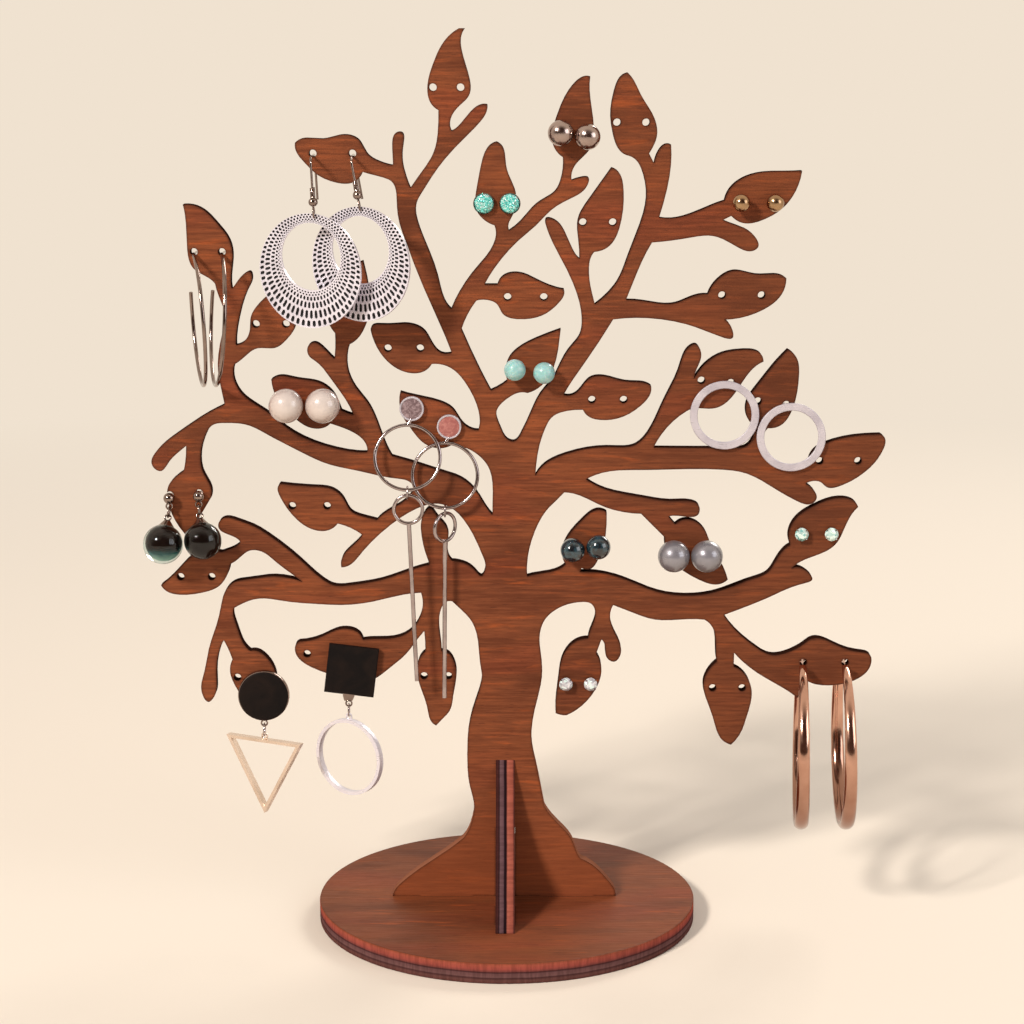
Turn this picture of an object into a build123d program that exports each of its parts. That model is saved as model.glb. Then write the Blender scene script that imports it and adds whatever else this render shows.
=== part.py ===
from build123d import *
import math
import os

os.makedirs("parts", exist_ok=True)

# Tree-shaped earring stand of laser-cut plywood, with the earrings that hang on it.
# The origin is the centre of the base disc's underside. +Z is up, +X is to the right
# of the tree and the front of the tree faces -Y. Every length is in millimetres.

# Stand
TREE_HEIGHT = 296.5
TREE_WIDTH = 245.85
PLY = 4.4
BASE_DIAMETER = 130.0
BASE_THICKNESS = 7.0
BASE_EDGE_ROUND = 0.4
HOLE_DIAMETER = 2.5

# Cross brace and the joints between the three cut pieces
BRACE_PLY = 6.5
BRACE_X = -0.5
BRACE_REACH = 38.3
BRACE_HEIGHT = 49.7
HALVING_HEIGHT = 25.0
TENON_LENGTH = 18.0
TENON_INNER = 12.0
JOINT_CLEARANCE = 0.08

# Earring wires and their running room
POST_DIAMETER = 0.8
POST_TAIL = 3.0
SEAT_GAP = 0.3
CUP_DIAMETER = 3.2
CUP_THICKNESS = 0.9
HOOK_WIRE = 0.8
LINK_WIRE = 0.6
LINK_GAP = 0.2

# Studs
WHITE_PEARL = 11.5
GREY_PEARL = 10.8
AQUA_BEAD = 7.2
DARK_BEAD = 8.3
SILVER_BALL = 8.5
GOLD_BALL = 5.8
GLITTER_STUD = 7.0
GLITTER_RIM = 1.0
GLITTER_DOME = 1.6
GLITTER_SHOULDER = (0.55, 0.75)
TURQUOISE_CRYSTAL = 4.9
CLEAR_CRYSTAL = 4.9
CRYSTAL_SETTING = 1.5
CRYSTAL_CUP_SHARE = 0.84
CRYSTAL_CROWN_SHARE = 0.24
CRYSTAL_TABLE_SHARE = 0.6
CRYSTAL_SIDES = 8
RING_STUD_DIAMETER = 23.1
RING_STUD_SHIFTS = (-2.0, 1.75)
RING_STUD_BAND = 2.5
RING_STUD_THICKNESS = 1.3

# Filigree hook earrings
FILIGREE_DIAMETER = 37.5
FILIGREE_OPENING = 22.0
FILIGREE_OPENING_RISE = 4.7
FILIGREE_THICKNESS = 0.8
FILIGREE_EYE = 1.9
FILIGREE_EYE_EDGE = 1.7
FILIGREE_REACH = 9.6
FILIGREE_TURNS = (24.0, 29.0)
FILIGREE_ROLLS = (5.6, 0.0)
HOOK_DROPS = (17.7, 15.6)
HOOK_LEANS = (2.6, 9.8)
HOOK_EYE_DIAMETER = 4.2
HOOK_EYE_WIRE = 0.64
HOOK_BEAD = 3.1
HOOK_COIL_DIAMETER = 1.9
HOOK_COIL_LENGTH = 3.5
HOOK_TAIL = 15.0
HOOK_BEND = 3.5
HOOK_BEND_RADIUS = 3.15
HOOK_TAIL_SLANT = 1.0

# Open silver hoops
SILVER_HOOP_DIAMETER = 45.5
SILVER_HOOP_WIRE = 1.3
SILVER_HOOP_TURN = 12.0
SILVER_HOOP_LEANS = (-3.0, 3.8)
SILVER_HOOP_OPEN_ANGLE = 72.0

# Gold hoops
GOLD_HOOP_DIAMETER = 59.5
GOLD_HOOP_WIDTH = 5.0
GOLD_HOOP_DEPTH = 3.4
GOLD_HOOP_TOP_DEPTH = 1.6
GOLD_HOOP_EDGE_ROUND = 0.67
GOLD_HOOP_TURNS = (5.0, 2.6)
GOLD_HOOP_LEANS = (0.5, 1.3)
GOLD_HOOP_CLASP = 11.0

# Ring and bar drop earrings
ROSE_DISC_DIAMETER = 8.2
ROSE_DISC_THICKNESS = 1.4
BIG_RING_DIAMETER = 23.0
BIG_RING_WIRE = 1.2
BIG_RING_LEANS = (15.7, 8.2)
SMALL_RING_DIAMETER = 10.8
SMALL_RING_WIRE = 1.2
RING_LINK_DIAMETER = 4.6
RING_DROP_SHIFT = -1.4
RING_DROP_NECK = 0.8
SMALL_RING_TURNS = (0.0, 46.0)
BAR_LEANS = (-2.4, 0.5)
BAR_LENGTH = 54.5
BAR_DIAMETER = 1.45

# Black earrings
BLACK_CIRCLE_DIAMETER = 17.5
BLACK_THICKNESS = 2.0
BLACK_SQUARE_SIDE = 17.0
BLACK_SQUARE_TURN = 7.0
BLACK_CIRCLE_DROP = 5.3
BLACK_SQUARE_SHIFT = 3.6
BLACK_SQUARE_DROP = 4.7
BLACK_EDGE_ROUND = 0.3
SQUARE_CAP_WIDTH = 4.0
SQUARE_CAP_HEIGHT = 2.4
EYE_DIAMETER = 2.6
TRIANGLE_SIDE = 29.5
TRIANGLE_HEIGHT = 26.3
TRIANGLE_BAR = 1.1
TRIANGLE_DEPTH = 2.4
TRIANGLE_TURN = -26.0
FLAT_RING_DIAMETER = 26.7
FLAT_RING_WALL = 1.2
FLAT_RING_DEPTH = 2.2
FLAT_RING_TURN = -32.0
DROP_LINK_DIAMETER = 4.8

# Glass drop earrings
GLASS_BALLS = (13.4, 12.6)
GLASS_STUD = 3.8
GLASS_EYE_SINK = 0.2
GLASS_LINK_DIAMETER = 4.2
GLASS_CAP_DIAMETER = 5.4
GLASS_CAP_TOP_DIAMETER = 2.16
GLASS_CAP_HEIGHT = 2.0
GLASS_GAP = 0.02
GLASS_LEAN = 24.0
GLASS_SPREADS = (8.2, -8.2)

PLATE_FRONT = -PLY / 2
PLATE_BACK = PLY / 2
HOLE_RADIUS = HOLE_DIAMETER / 2
POST_RADIUS = POST_DIAMETER / 2

# The cut line was drawn at this size, with its foot on top of the base.
DRAWN_WIDTH = 245.85
DRAWN_HEIGHT = 296.5
DRAWN_FOOT = 7.0

# The tree's cut line, walked clockwise from the left foot. Each stretch is one smooth curve
# from the end of the stretch before it, and stretches meet in a crotch, a notch or a leaf tip.
START = (-39.75, 7)
OUTLINE = [
    # Left root and the left side of the trunk
    [(-38.75, 9.5), (-36.5, 12), (-30, 17.25), (-22, 22.75), (-15, 28.25)],
    [(-13.5, 30.5), (-12.2, 34), (-11.3, 40), (-12.75, 47), (-13.6, 57.5), (-13.1, 67.5),
     (-11.25, 75.5), (-8.9, 83), (-8.5, 86.5), (-9, 90), (-9.85, 99), (-12, 105.5), (-16, 110),
     (-18.5, 112.4)],
    [(-20.5, 112.25), (-22.65, 108.5), (-22.85, 101), (-22.25, 94.9)],
    # Hanging leaf left of the trunk
    [(-20, 94.25), (-18.5, 92.5), (-17.15, 87), (-18.25, 79.5), (-19.75, 73.5), (-21, 72),
     (-24.25, 68.6)],
    [(-25.5, 69.5), (-27.25, 75), (-29.75, 83), (-30.6, 89), (-29.25, 93.25), (-27.75, 94.75)],
    [(-27.75, 97), (-28.1, 102)],
    # Long leaf low on the left
    [(-30.5, 99), (-34.5, 93.75), (-40, 89), (-45, 85.25), (-52, 84), (-57, 85.5), (-65, 88.5),
     (-69.5, 91), (-72, 94.25), (-71.75, 97.5), (-70.5, 98.25)],
    [(-67.5, 98.6), (-62.5, 100.25), (-57.5, 102.5), (-53, 102.6), (-51, 101.75), (-49, 98.9)],
    [(-47, 99.15), (-38, 99.6), (-33.5, 101.5), (-29.25, 107.5), (-28.5, 112), (-29.1, 115.4)],
    # Underside of the low left limb
    [(-35, 114.75), (-45, 112.4), (-55, 111.15), (-65, 111.5), (-75, 112.4), (-85, 113.25),
     (-90, 111.5), (-92.75, 110)],
    # Lowest left leaf and its stem
    [(-93, 109), (-92, 104), (-89, 96.5), (-87.5, 95)],
    [(-85.25, 95), (-81.75, 92.5), (-79, 87.25), (-79.5, 80), (-81.5, 75.5), (-84.5, 72)],
    [(-88, 75), (-92.25, 81.5), (-94.5, 87.5), (-93.6, 92)],
    [(-94.25, 94), (-96.4, 98.75)],
    # Low left twig and the top of the low left limb
    [(-97.5, 96.5), (-99.25, 86), (-100.5, 78.25), (-102, 77), (-104.25, 80), (-103.5, 87),
     (-101.25, 97), (-99, 103.5), (-97.25, 110), (-95.5, 116), (-93, 118.75), (-87, 120.15),
     (-80, 121.1), (-74, 120.6), (-69.25, 119.25)],
    [(-72.5, 121.75), (-78, 126), (-83, 129.75), (-87, 130), (-91, 127), (-93.5, 125.5)],
    # Outer left leaf
    [(-94.75, 121.5), (-97.5, 117.75), (-103, 115.5), (-110, 114.65), (-115.5, 116),
     (-117.25, 118)],
    [(-115, 119.75), (-111.25, 123.5), (-106, 128.5), (-99.5, 130), (-96.5, 129.5)],
    [(-95, 130), (-92.5, 131), (-90, 132.9)],
    # Middle left twig and limb
    [(-93.5, 135.4), (-97.25, 138), (-97.25, 139.5), (-96, 141), (-90, 140.25), (-86, 138.75),
     (-80, 135.1), (-70, 127), (-62, 119.75), (-59, 118.1), (-52.5, 118.1), (-42.5, 119.85),
     (-34, 122.75), (-26.1, 125.2)],
    [(-27.9, 130.75), (-28.9, 136.6), (-28.1, 142.4), (-25.8, 144.8), (-23.75, 142.4),
     (-20.5, 138.5), (-19.8, 136.5), (-20, 129.5), (-18.5, 126.5)],
    # Limb that leaves the trunk under the middle left leaf
    [(-15.8, 126.1), (-10.8, 123.25), (-8.5, 121.2), (-7.3, 123.7), (-8.3, 128.7), (-10.8, 134.5),
     (-14.2, 140.3), (-18.3, 144.5), (-23, 146.2), (-30, 144.7), (-35.8, 141.4), (-42.9, 135.75),
     (-49.2, 129.1), (-53.75, 124.7), (-56, 124.25)],
    [(-55.5, 128), (-51, 132.75), (-48.75, 135.5)],
    # Middle left leaf
    [(-51.7, 137.4), (-57, 139.4)],
    [(-60.5, 137), (-66.5, 137.75), (-71.5, 141.5), (-76.25, 148.5), (-77, 152), (-76.25, 153.1)],
    [(-73.5, 152.75), (-65, 152.1), (-58.5, 151.1), (-55, 148), (-52.5, 143.7), (-48.75, 141.9),
     (-43.75, 140.6)],
    [(-40.4, 143.5), (-33.3, 148.2), (-31.2, 151.8)],
    # Underside of the great left limb
    [(-32.5, 153.6), (-37.5, 154.9), (-50, 157.5), (-60, 159.8), (-70, 164.4), (-80, 169.75),
     (-86.5, 173), (-94, 173.8), (-98.5, 173), (-101, 169.5), (-102.75, 160), (-102.25, 157.5),
     (-100, 153), (-99.75, 148)],
    # Leaf of the glass drops
    [(-102.75, 143), (-105, 139.5), (-108.5, 135.5)],
    [(-111, 139), (-114.1, 147), (-113.75, 152.5), (-110.25, 156.25), (-108.5, 157.5)],
    [(-108, 160), (-107.5, 166)],
    # Far left twig and limb
    [(-109, 164.75), (-113.75, 160), (-116.25, 157.4), (-118, 158), (-119.25, 160),
     (-117.25, 164.5),
     (-110, 170.5), (-101, 176.5), (-94.25, 180)],
    [(-95, 184), (-96.1, 190), (-94.5, 204), (-93.5, 210), (-95.75, 217.5), (-96.5, 220.5)],
    # Leaf of the silver hoops
    [(-98, 222), (-103.25, 225.25), (-105.5, 235), (-105.75, 242), (-106.5, 246.6)],
    [(-100, 245), (-95, 240), (-91.5, 235), (-90.5, 230), (-91, 225), (-91, 218.8)],
    [(-89.5, 220.75), (-86, 224.25), (-85, 224.5), (-84.25, 223), (-85.5, 219), (-89, 208.5),
     (-90, 200)],
    # Leaf below the filigree discs, on the far left limb
    [(-86, 203), (-85.35, 205), (-85, 209), (-81, 215), (-76, 219)],
    [(-73, 216), (-71, 211), (-70.25, 206.5), (-73, 202), (-77, 199.1), (-83, 198.9),
     (-88.5, 195), (-90.75, 193.5)],
    [(-90.65, 187.5), (-88.5, 183.75), (-80, 177.5), (-75, 173.25), (-65, 167.5), (-57, 165),
     (-50, 163.85), (-46.75, 163.8)],
    # Leaf of the white pearls
    [(-47.25, 166.75), (-50, 169.75), (-59, 173.6)],
    [(-61, 172.25), (-66, 172.25), (-70.5, 175), (-76.5, 181.5), (-77.75, 184.5), (-78.5, 188.5)],
    [(-76, 189.6), (-70, 188.75), (-62.75, 187.5), (-58, 184), (-56, 180), (-55.25, 178)],
    [(-53.5, 177.25), (-51.2, 176.5)],
    # Upper left twig and the leaf behind the second filigree disc
    [(-53.5, 181.25), (-58.5, 188.5), (-63.5, 194.5), (-65.85, 196.5), (-65.85, 200), (-64, 200.9),
     (-62, 200), (-58, 196), (-57.3, 195.4)],
    [(-57, 199), (-57, 204)],
    [(-59.5, 208.5), (-60, 214), (-57, 221), (-47.5, 228)],
    [(-46, 221), (-45.5, 213), (-46.5, 207.5), (-49, 202.75), (-52.25, 200.25)],
    [(-53, 197.5), (-52.75, 191), (-50, 185.25), (-46.5, 180.75), (-43.25, 174), (-40.75, 167),
     (-38.5, 162.5)],
    [(-30, 160), (-21.75, 157.25), (-15, 154.75), (-10, 150.1), (-6.25, 144.1), (-4.8, 142.4)],
    # Leaf of the ring and bar drops
    [(-4.7, 151.6), (-6, 158.5), (-10, 163.25), (-18.5, 166.25)],
    [(-23, 165.2), (-27.5, 166.75), (-32, 171.75), (-34.5, 175.5), (-35.85, 180.5),
     (-35.5, 184.25)],
    [(-32, 183.25), (-22.5, 181), (-18, 178.5), (-14.5, 173.5), (-12.5, 172), (-9.4, 171.3)],
    # Bare leaf above it
    [(-9, 174), (-10, 180), (-13.5, 187), (-16.5, 190.75), (-24.9, 193.7)],
    [(-28, 191), (-33.5, 190.9), (-38.5, 193.5), (-43, 199), (-45.15, 205)],
    [(-45, 206), (-40, 206.9), (-32.75, 207.15), (-27.5, 205), (-25.5, 202), (-23, 198.25),
     (-18.25, 197.4)],
    # Left edge of the upper left limb
    [(-20, 202), (-25, 213.5), (-30, 225.5), (-33.5, 235), (-36, 245), (-38.25, 254.5),
     (-40, 255.25), (-47.25, 257.25)],
    # Leaf of the filigree earrings
    [(-50.5, 253.75), (-57, 254), (-62, 256.25), (-66, 260), (-69.25, 265), (-69.25, 266.75)],
    [(-68.5, 267.4), (-60, 268), (-53.5, 269.35), (-48.5, 267.75), (-45.5, 263), (-42, 260.75),
     (-37.5, 259.4)],
    [(-37.4, 267), (-36, 270), (-34.5, 270.15), (-34, 265), (-32.75, 255), (-31.6, 252)],
    # Top leaf
    [(-28, 257), (-23.75, 264), (-22.5, 270), (-22.25, 277.25)],
    [(-25, 280), (-25.75, 285.5), (-24, 292), (-20, 299.75), (-15.5, 303.5)],
    [(-13.5, 303.5)],
    [(-12.75, 290), (-12.5, 281.5), (-15, 279), (-18.25, 274.5), (-18.5, 272), (-18, 270.6)],
    [(-12, 276.5), (-8, 279.15), (-6.25, 279.1)],
    [(-6.25, 277.75), (-9, 273), (-15, 267), (-22.5, 258.5), (-27.5, 251), (-29.75, 246.5),
     (-29, 240), (-25.5, 231), (-22.5, 222), (-19.25, 213), (-18.35, 212.1)],
    [(-16, 217), (-10.5, 225), (-5, 232), (-3.5, 237.5), (-4, 239.75)],
    # Leaf of the glitter studs
    [(-7, 241.25), (-10, 245), (-10, 251), (-8.5, 259), (-5, 266.25), (-3.25, 267)],
    [(-1.75, 266), (0, 258.5), (3, 250.5), (2, 243), (0.75, 240.5), (0.75, 238)],
    [(4.5, 241), (10.5, 247.3), (16, 251), (17.9, 255), (18.5, 262)],
    # Leaf of the silver balls
    [(16.5, 263.75), (15.25, 266), (16.25, 274.75), (18.5, 280.5), (21.5, 285.25), (26, 288.25),
     (27.3, 288.1)],
    [(27.4, 281), (28.4, 274), (27, 264.25), (22.75, 259.75), (21.35, 254.5)],
    [(23.5, 255.25), (27, 255.25), (26.5, 252.75), (22, 249), (15, 245), (10, 240), (5, 235.7),
     (-3, 227), (-7.3, 220.2)],
    # Middle leaf
    [(-3, 220.2)],
    [(-0.5, 223.4), (4.5, 224), (10, 221.75), (17.25, 218.9), (19, 218.6)],
    [(19.15, 218), (17, 213.75), (12.5, 210.25), (5, 208.65), (-1.5, 210.75), (-3.25, 213.75),
     (-5.5, 214.9), (-10, 214.85)],
    [(-12.25, 211.5), (-15, 205.25)],
    [(-12.5, 199.5), (-7.5, 189), (-5.25, 184.75)],
    # Leaf of the aqua beads
    [(-2.5, 186.1), (0.25, 188)],
    [(-0.25, 192), (0.75, 195.5), (4, 199), (10, 202.25), (15, 204.25), (18, 205.35)],
    [(17.25, 199), (14.5, 190), (12, 186.75), (7, 183.9)],
    [(4.5, 184.1), (0.5, 182.25), (-3.35, 177.75), (-2, 172), (1, 167.75), (2.25, 167.5),
     (5, 170.5),
     (8, 177), (11.5, 184), (15.5, 189), (17.75, 193.5), (21, 199), (24.25, 203.25), (25, 209),
     (22.25, 220), (20, 225), (16, 232.5), (12.75, 240.5)],
    [(13.25, 242.1), (15, 241.9), (19.5, 237), (24.1, 228.75)],
    # Leaf right of the middle
    [(23.75, 234.5), (23.5, 241.5), (27.5, 248.75), (32.25, 255.5), (34.5, 258.6)],
    [(36.5, 257.5), (38.5, 251), (37.75, 241), (34.5, 233.5), (29, 231)],
    [(28.25, 230), (27.25, 225), (27.75, 220), (29.3, 213.6)],
    [(33, 216.75), (36.5, 221), (40.4, 230.5), (44.5, 241.5), (46, 249), (45, 256.25),
     (42, 261.5), (40, 262.5)],
    # Tall leaf at the upper right
    [(37.5, 263.75), (35, 269), (34, 276), (35, 283), (38, 288.75), (39.5, 289.35)],
    [(40.75, 288), (44, 282), (48, 275.5), (49.25, 269), (47.5, 264.5), (46.75, 263.25)],
    [(48.4, 260)],
    [(49.25, 263), (52.5, 266.35), (53.9, 266.1)],
    [(53.9, 259), (52.5, 250.5), (50.25, 242.3)],
    # Leaf of the gold balls
    [(56.5, 242.3), (65, 245.25), (71.75, 247.85)],
    [(74.5, 253), (80.5, 256.4), (92.5, 257.4), (97, 257.6)],
    [(95.5, 252), (91, 245.5), (85, 241.75), (79, 240.35), (74, 242.85)],
    [(71.25, 241.5)],
    [(76.5, 239.5), (82, 236), (83, 232.5), (81.75, 231.5), (75, 233.25), (68, 236.25), (60, 235.6),
     (50, 234.25), (48, 234.1)],
    [(45.5, 229.5), (42.5, 222.5), (39.6, 215.1)],
    # Upper right limb and its leaf
    [(45, 214.75), (56, 214), (62.5, 216.5), (66.75, 217)],
    [(70, 222), (75, 224.75), (83, 223.5), (91.5, 223), (92.6, 222.25)],
    [(90.5, 216), (84, 211.25), (76.5, 208.9), (72.2, 208.5)],
    [(75, 205.25), (75.25, 202.6), (70, 203.25), (60, 206.9), (47.5, 209), (35.4, 208.6)],
    [(33.5, 205.5), (27, 195.5), (22.5, 189), (19, 183.25)],
    # Leaf right of the aqua beads
    [(23.75, 184.4), (28, 189), (32, 189.6), (40, 187.75), (47.5, 186.75), (48.25, 186.25)],
    [(48.25, 184.5), (45, 179.75), (37.5, 175.4), (32, 174.75), (27.75, 175.75), (25.5, 178.25)],
    [(19, 177.6), (15.5, 176), (12.75, 171.5), (10.75, 165), (9.65, 155.9)],
    # Top of the great right limb, with its upright twig
    [(12.5, 159.5), (20, 163.25), (35, 165.6), (43, 166.25), (48, 171.5), (52.5, 181.25),
     (57.5, 192.25),
     (61.5, 199.9), (62.75, 200.3), (64.65, 198), (63.2, 191.6), (62.5, 188.7)],
    # Leaf of the first ring stud
    [(65, 192.5), (70, 196.5), (78.5, 198.4), (84.5, 197.25), (85.6, 194.5)],
    [(82.5, 192.5), (79.75, 189.25), (75, 182.25), (70.5, 179), (65, 178.75), (62.5, 179)],
    [(59, 177), (52.5, 170.75), (49.25, 165.4)],
    [(65, 165.3), (78, 165.4)],
    [(81.5, 167), (82.8, 171), (81.9, 173.6)],
    # Leaf of the second ring stud
    [(80.5, 175.7), (80.1, 180), (84, 186.75), (90, 194.5), (93.75, 198.5)],
    [(96.75, 195.5), (97.5, 189), (95.8, 179), (92.5, 173.5), (87.5, 172)],
    [(86.2, 170), (87, 163.5), (91.5, 159), (98.5, 158.7), (101.6, 161.3)],
    # Outer right leaf
    [(103.8, 165), (108, 167.25), (119, 169.6), (125.5, 169.9)],
    [(126.6, 169), (125.75, 163.5), (120, 156.75), (112.5, 152.4), (107.5, 152), (105.75, 153.5),
     (102.5, 153.9), (100.5, 153)],
    [(103.5, 150.75), (104.4, 148), (103, 146.3), (97.5, 147.25), (90, 151.5), (80, 156.75),
     (73, 157.85), (45, 157.75), (33, 157), (26.7, 154.6)],
    # Middle right limb
    [(33.3, 151.1), (45, 148.6), (55.8, 147.1), (62.1, 147), (64.8, 145.5), (64.8, 142.8),
     (58.3, 142), (54.6, 141.8)],
    [(56.9, 139.1)],
    # Leaf of the grey pearls
    [(61.7, 140.75), (66.25, 138), (69.5, 131), (73.75, 123.5), (75, 120)],
    [(72, 118.35), (65, 120), (58.5, 124), (55.5, 127), (53.8, 130.5), (53.4, 134.6)],
    [(51.25, 136.8), (45.3, 142.75)],
    [(39.6, 143.3), (32.5, 145.3), (22.9, 149.6), (19.4, 150.1)],
    # Right side of the trunk above the low right limb
    [(17.9, 148.5), (13.75, 144.3), (9.8, 137.4), (7.3, 128.7), (6.95, 121.1)],
    [(11.25, 122), (17.9, 123.7), (20, 125.3)],
    # Leaf of the dark beads
    [(18.8, 128), (20.8, 135.1), (25, 140.1), (30.8, 144.1), (33.75, 143.25)],
    [(33.75, 139.1), (32.8, 132), (30.8, 126.6), (29.2, 124.2), (25.4, 124)],
    [(24.8, 122.7)],
    # Top of the low right limb
    [(31.5, 122.4), (40, 120.1), (51, 115.75), (60, 114.4), (71, 115.65), (83, 120.1),
     (88.5, 122.5),
     (91, 126.25), (95.9, 132)],
    # Leaf of the turquoise crystals
    [(95.6, 137.5), (97.5, 141), (104.5, 145.9), (112.5, 148.25), (117.5, 146.75), (118.5, 145.1)],
    [(115, 140), (111, 132), (105, 128.5), (100, 126.5), (96.4, 123.75)],
    [(101, 123.35), (103.6, 120), (100, 118.4), (90, 114.25), (80, 110), (73.75, 107.6)],
    # Leaf of the gold hoops
    [(77.5, 102.75), (85, 96.25), (89.5, 93.75), (96, 94.5), (102, 98)],
    [(105, 99.5), (112.5, 97), (120.5, 94.6), (124, 93.5), (124.25, 90), (120, 85.25), (109, 82.85),
     (103.5, 84), (102, 85)],
    [(101.7, 82.5), (99.6, 78.4)],
    [(94, 82.25), (86, 87), (80, 91.75), (77.6, 94.3)],
    [(77.5, 89.5)],
    # Low right leaf
    [(80.5, 87.75), (83.75, 81.5), (82.5, 72.5), (79.75, 65), (77, 61.75)],
    [(74.5, 63), (70.5, 72), (67.5, 85), (69, 88.25), (71.75, 91.25)],
    [(71.25, 97.5), (70.5, 102.25), (67.2, 106)],
    # Underside of the low right limb
    [(60, 106.1), (50, 106.1), (44, 108), (36.2, 111.1)],
    [(35.25, 108.5), (36.5, 102), (38.75, 93.5), (36.75, 91.25), (34.25, 92.5), (33.1, 98),
     (32.25, 99)],
    [(30.5, 94)],
    # Leaf of the clear crystals
    [(32.25, 90), (32, 85.5), (29.5, 80), (25, 75), (20.5, 72.25)],
    [(18.5, 72.4), (16.75, 73)],
    [(16.75, 77), (17.65, 85), (18.75, 92), (21.5, 96.75), (27.75, 99.4)],
    # Right side of the trunk and the right root
    [(28.75, 103), (30.15, 108), (28.75, 111.5), (25, 112.15), (17.5, 110), (13, 106),
     (11.25, 100.5),
     (12.15, 88), (10, 76), (8.6, 62.5), (10.25, 54), (12, 45), (13, 39.75)],
    [(17.5, 33.75), (22.5, 27.75), (24.5, 22.5), (25.5, 20.75)],
    [(30, 18.25), (35, 13), (37.75, 8.5), (37.9, 7)],
]

# Every leaf has a pair of holes.
HOLES = {
    "top leaf": [(-24, 284.6), (-15, 284.6)],
    "tall leaf": [(36.15, 273.3), (45.65, 273.3)],
    "right of middle leaf": [(25.15, 240.8), (35, 240.8)],
    "upper right leaf": [(71.4, 216.7), (84.5, 216.7)],
    "middle leaf": [(0.35, 216.1), (12.35, 216.1)],
    "bare left leaf": [(-39.5, 199), (-28.75, 199)],
    "bare right leaf": [(28.5, 181.7), (39.1, 181.7)],
    "leaf below filigree": [(-83.25, 207.1), (-73.25, 207.1)],
    "leaf behind filigree": [(-57.5, 214), (-48, 214)],
    "outer right leaf": [(105.1, 160.9), (118, 160.9)],
    "middle left leaf": [(-72.25, 145.5), (-60.5, 145.5)],
    "outer left leaf": [(-110.5, 121), (-100, 121)],
    "low right leaf": [(70.4, 82), (80.5, 82)],
    "leaf left of trunk": [(-28.25, 86.25), (-19.9, 86.25)],
    "filigree": [(-63.5, 263.25), (-50.5, 263.25)],
    "silver hoops": [(-103.25, 231), (-94, 231)],
    "glitter": [(-7.45, 247.7), (1.1, 247.7)],
    "silver balls": [(17.65, 270.8), (26.35, 269.6)],
    "gold balls": [(76.95, 248.1), (88.05, 248.1)],
    "white pearls": [(-73.2, 181.3), (-61.05, 181.3)],
    "aqua": [(2.75, 193), (12.45, 192)],
    "ring drops": [(-31.7, 179.5), (-19.25, 173.4)],
    "first ring stud": [(65, 188.2), (74.8, 187.4)],
    "second ring stud": [(84, 181.2), (93.5, 180)],
    "grey pearls": [(56.15, 130.1), (67.3, 130.1)],
    "dark beads": [(22.2, 131.9), (30.85, 133)],
    "turquoise crystals": [(99.5, 136.7), (109.55, 136.7)],
    "clear crystals": [(20.2, 84.4), (28.6, 84.4)],
    "glass drops": [(-113.4, 149.2), (-103.5, 149.9)],
    "black circle": [(-92, 85.7), (-83, 85.7)],
    "black square": [(-68.1, 94), (-56.5, 94)],
    "gold hoops": [(101.25, 91), (115.5, 91)],
}


def at(x, z):
    """A drawn point of the tree at the tree's real height and width."""
    return (x * TREE_WIDTH / DRAWN_WIDTH,
            BASE_THICKNESS + (z - DRAWN_FOOT) * TREE_HEIGHT / DRAWN_HEIGHT)


def hole(leaf, side):
    """The centre of a leaf's left (0) or right (1) hole."""
    return at(*HOLES[leaf][side])


def along_y(radius, y_from, y_to, x, z):
    """A round rod along Y."""
    middle = Pos(x, (y_from + y_to) / 2, z)
    return middle * Rot(90, 0, 0) * Cylinder(radius, abs(y_to - y_from))


def box_between(low, high):
    """A box from its lowest to its highest corner."""
    size = [b - a for a, b in zip(low, high)]
    centre = [(a + b) / 2 for a, b in zip(low, high)]
    return Pos(*centre) * Box(*size)


def ring(diameter, wire, x, y, z, facing="y"):
    """A round wire ring of an outside diameter, which faces along Y or along X."""
    turn = Rot(90, 0, 0) if facing == "y" else Rot(0, 90, 0)
    return Pos(x, y, z) * turn * Torus((diameter - wire) / 2, wire / 2)


def save(name, shape):
    shape.label = name
    export_step(shape, f"parts/{name}.step")


def tree_outline():
    """The closed cut line in the XZ plane."""
    edges = []
    last = Vector(at(*START)[0], 0, at(*START)[1])
    for stretch in OUTLINE:
        points = [last] + [Vector(at(x, z)[0], 0, at(x, z)[1]) for x, z in stretch]
        edges.append(Spline(*points) if len(points) > 2 else Line(*points))
        last = points[-1]
    edges.append(Line(last, edges[0] @ 0))
    return make_face(edges)


def tree_plate():
    plate = extrude(tree_outline(), amount=PLY / 2, both=True)
    cuts = [along_y(HOLE_RADIUS, -PLY, PLY, *at(x, z)) for pair in HOLES.values() for x, z in pair]
    slot = BRACE_PLY / 2 + JOINT_CLEARANCE
    top = BASE_THICKNESS + HALVING_HEIGHT + JOINT_CLEARANCE
    cuts.append(box_between((BRACE_X - slot, -PLY, 0), (BRACE_X + slot, PLY, top)))
    plate -= cuts
    for x in (TENON_INNER, -TENON_INNER - TENON_LENGTH):
        plate += box_between((x, -PLY / 2, 0), (x + TENON_LENGTH, PLY / 2, BASE_THICKNESS))
    return plate


def brace_half(side):
    """The brace's cut line on the front (-1) or rear (1) side, from its top to its foot."""
    rise = BRACE_HEIGHT
    reach = BRACE_REACH - PLY / 2
    start = PLY / 2

    def edge(out, up):
        return Vector(0, side * (start + out * reach), BASE_THICKNESS + up * rise)

    shoulder = edge(0.21, 0.60)
    ankle = edge(0.64, 0.26)
    return [Spline(edge(0, 1), edge(0.07, 0.84), edge(0.14, 0.71), shoulder),
            Spline(shoulder, edge(0.36, 0.46), edge(0.52, 0.35), ankle),
            Spline(ankle, edge(0.80, 0.18), edge(0.92, 0.09), edge(1, 0))]


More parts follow.
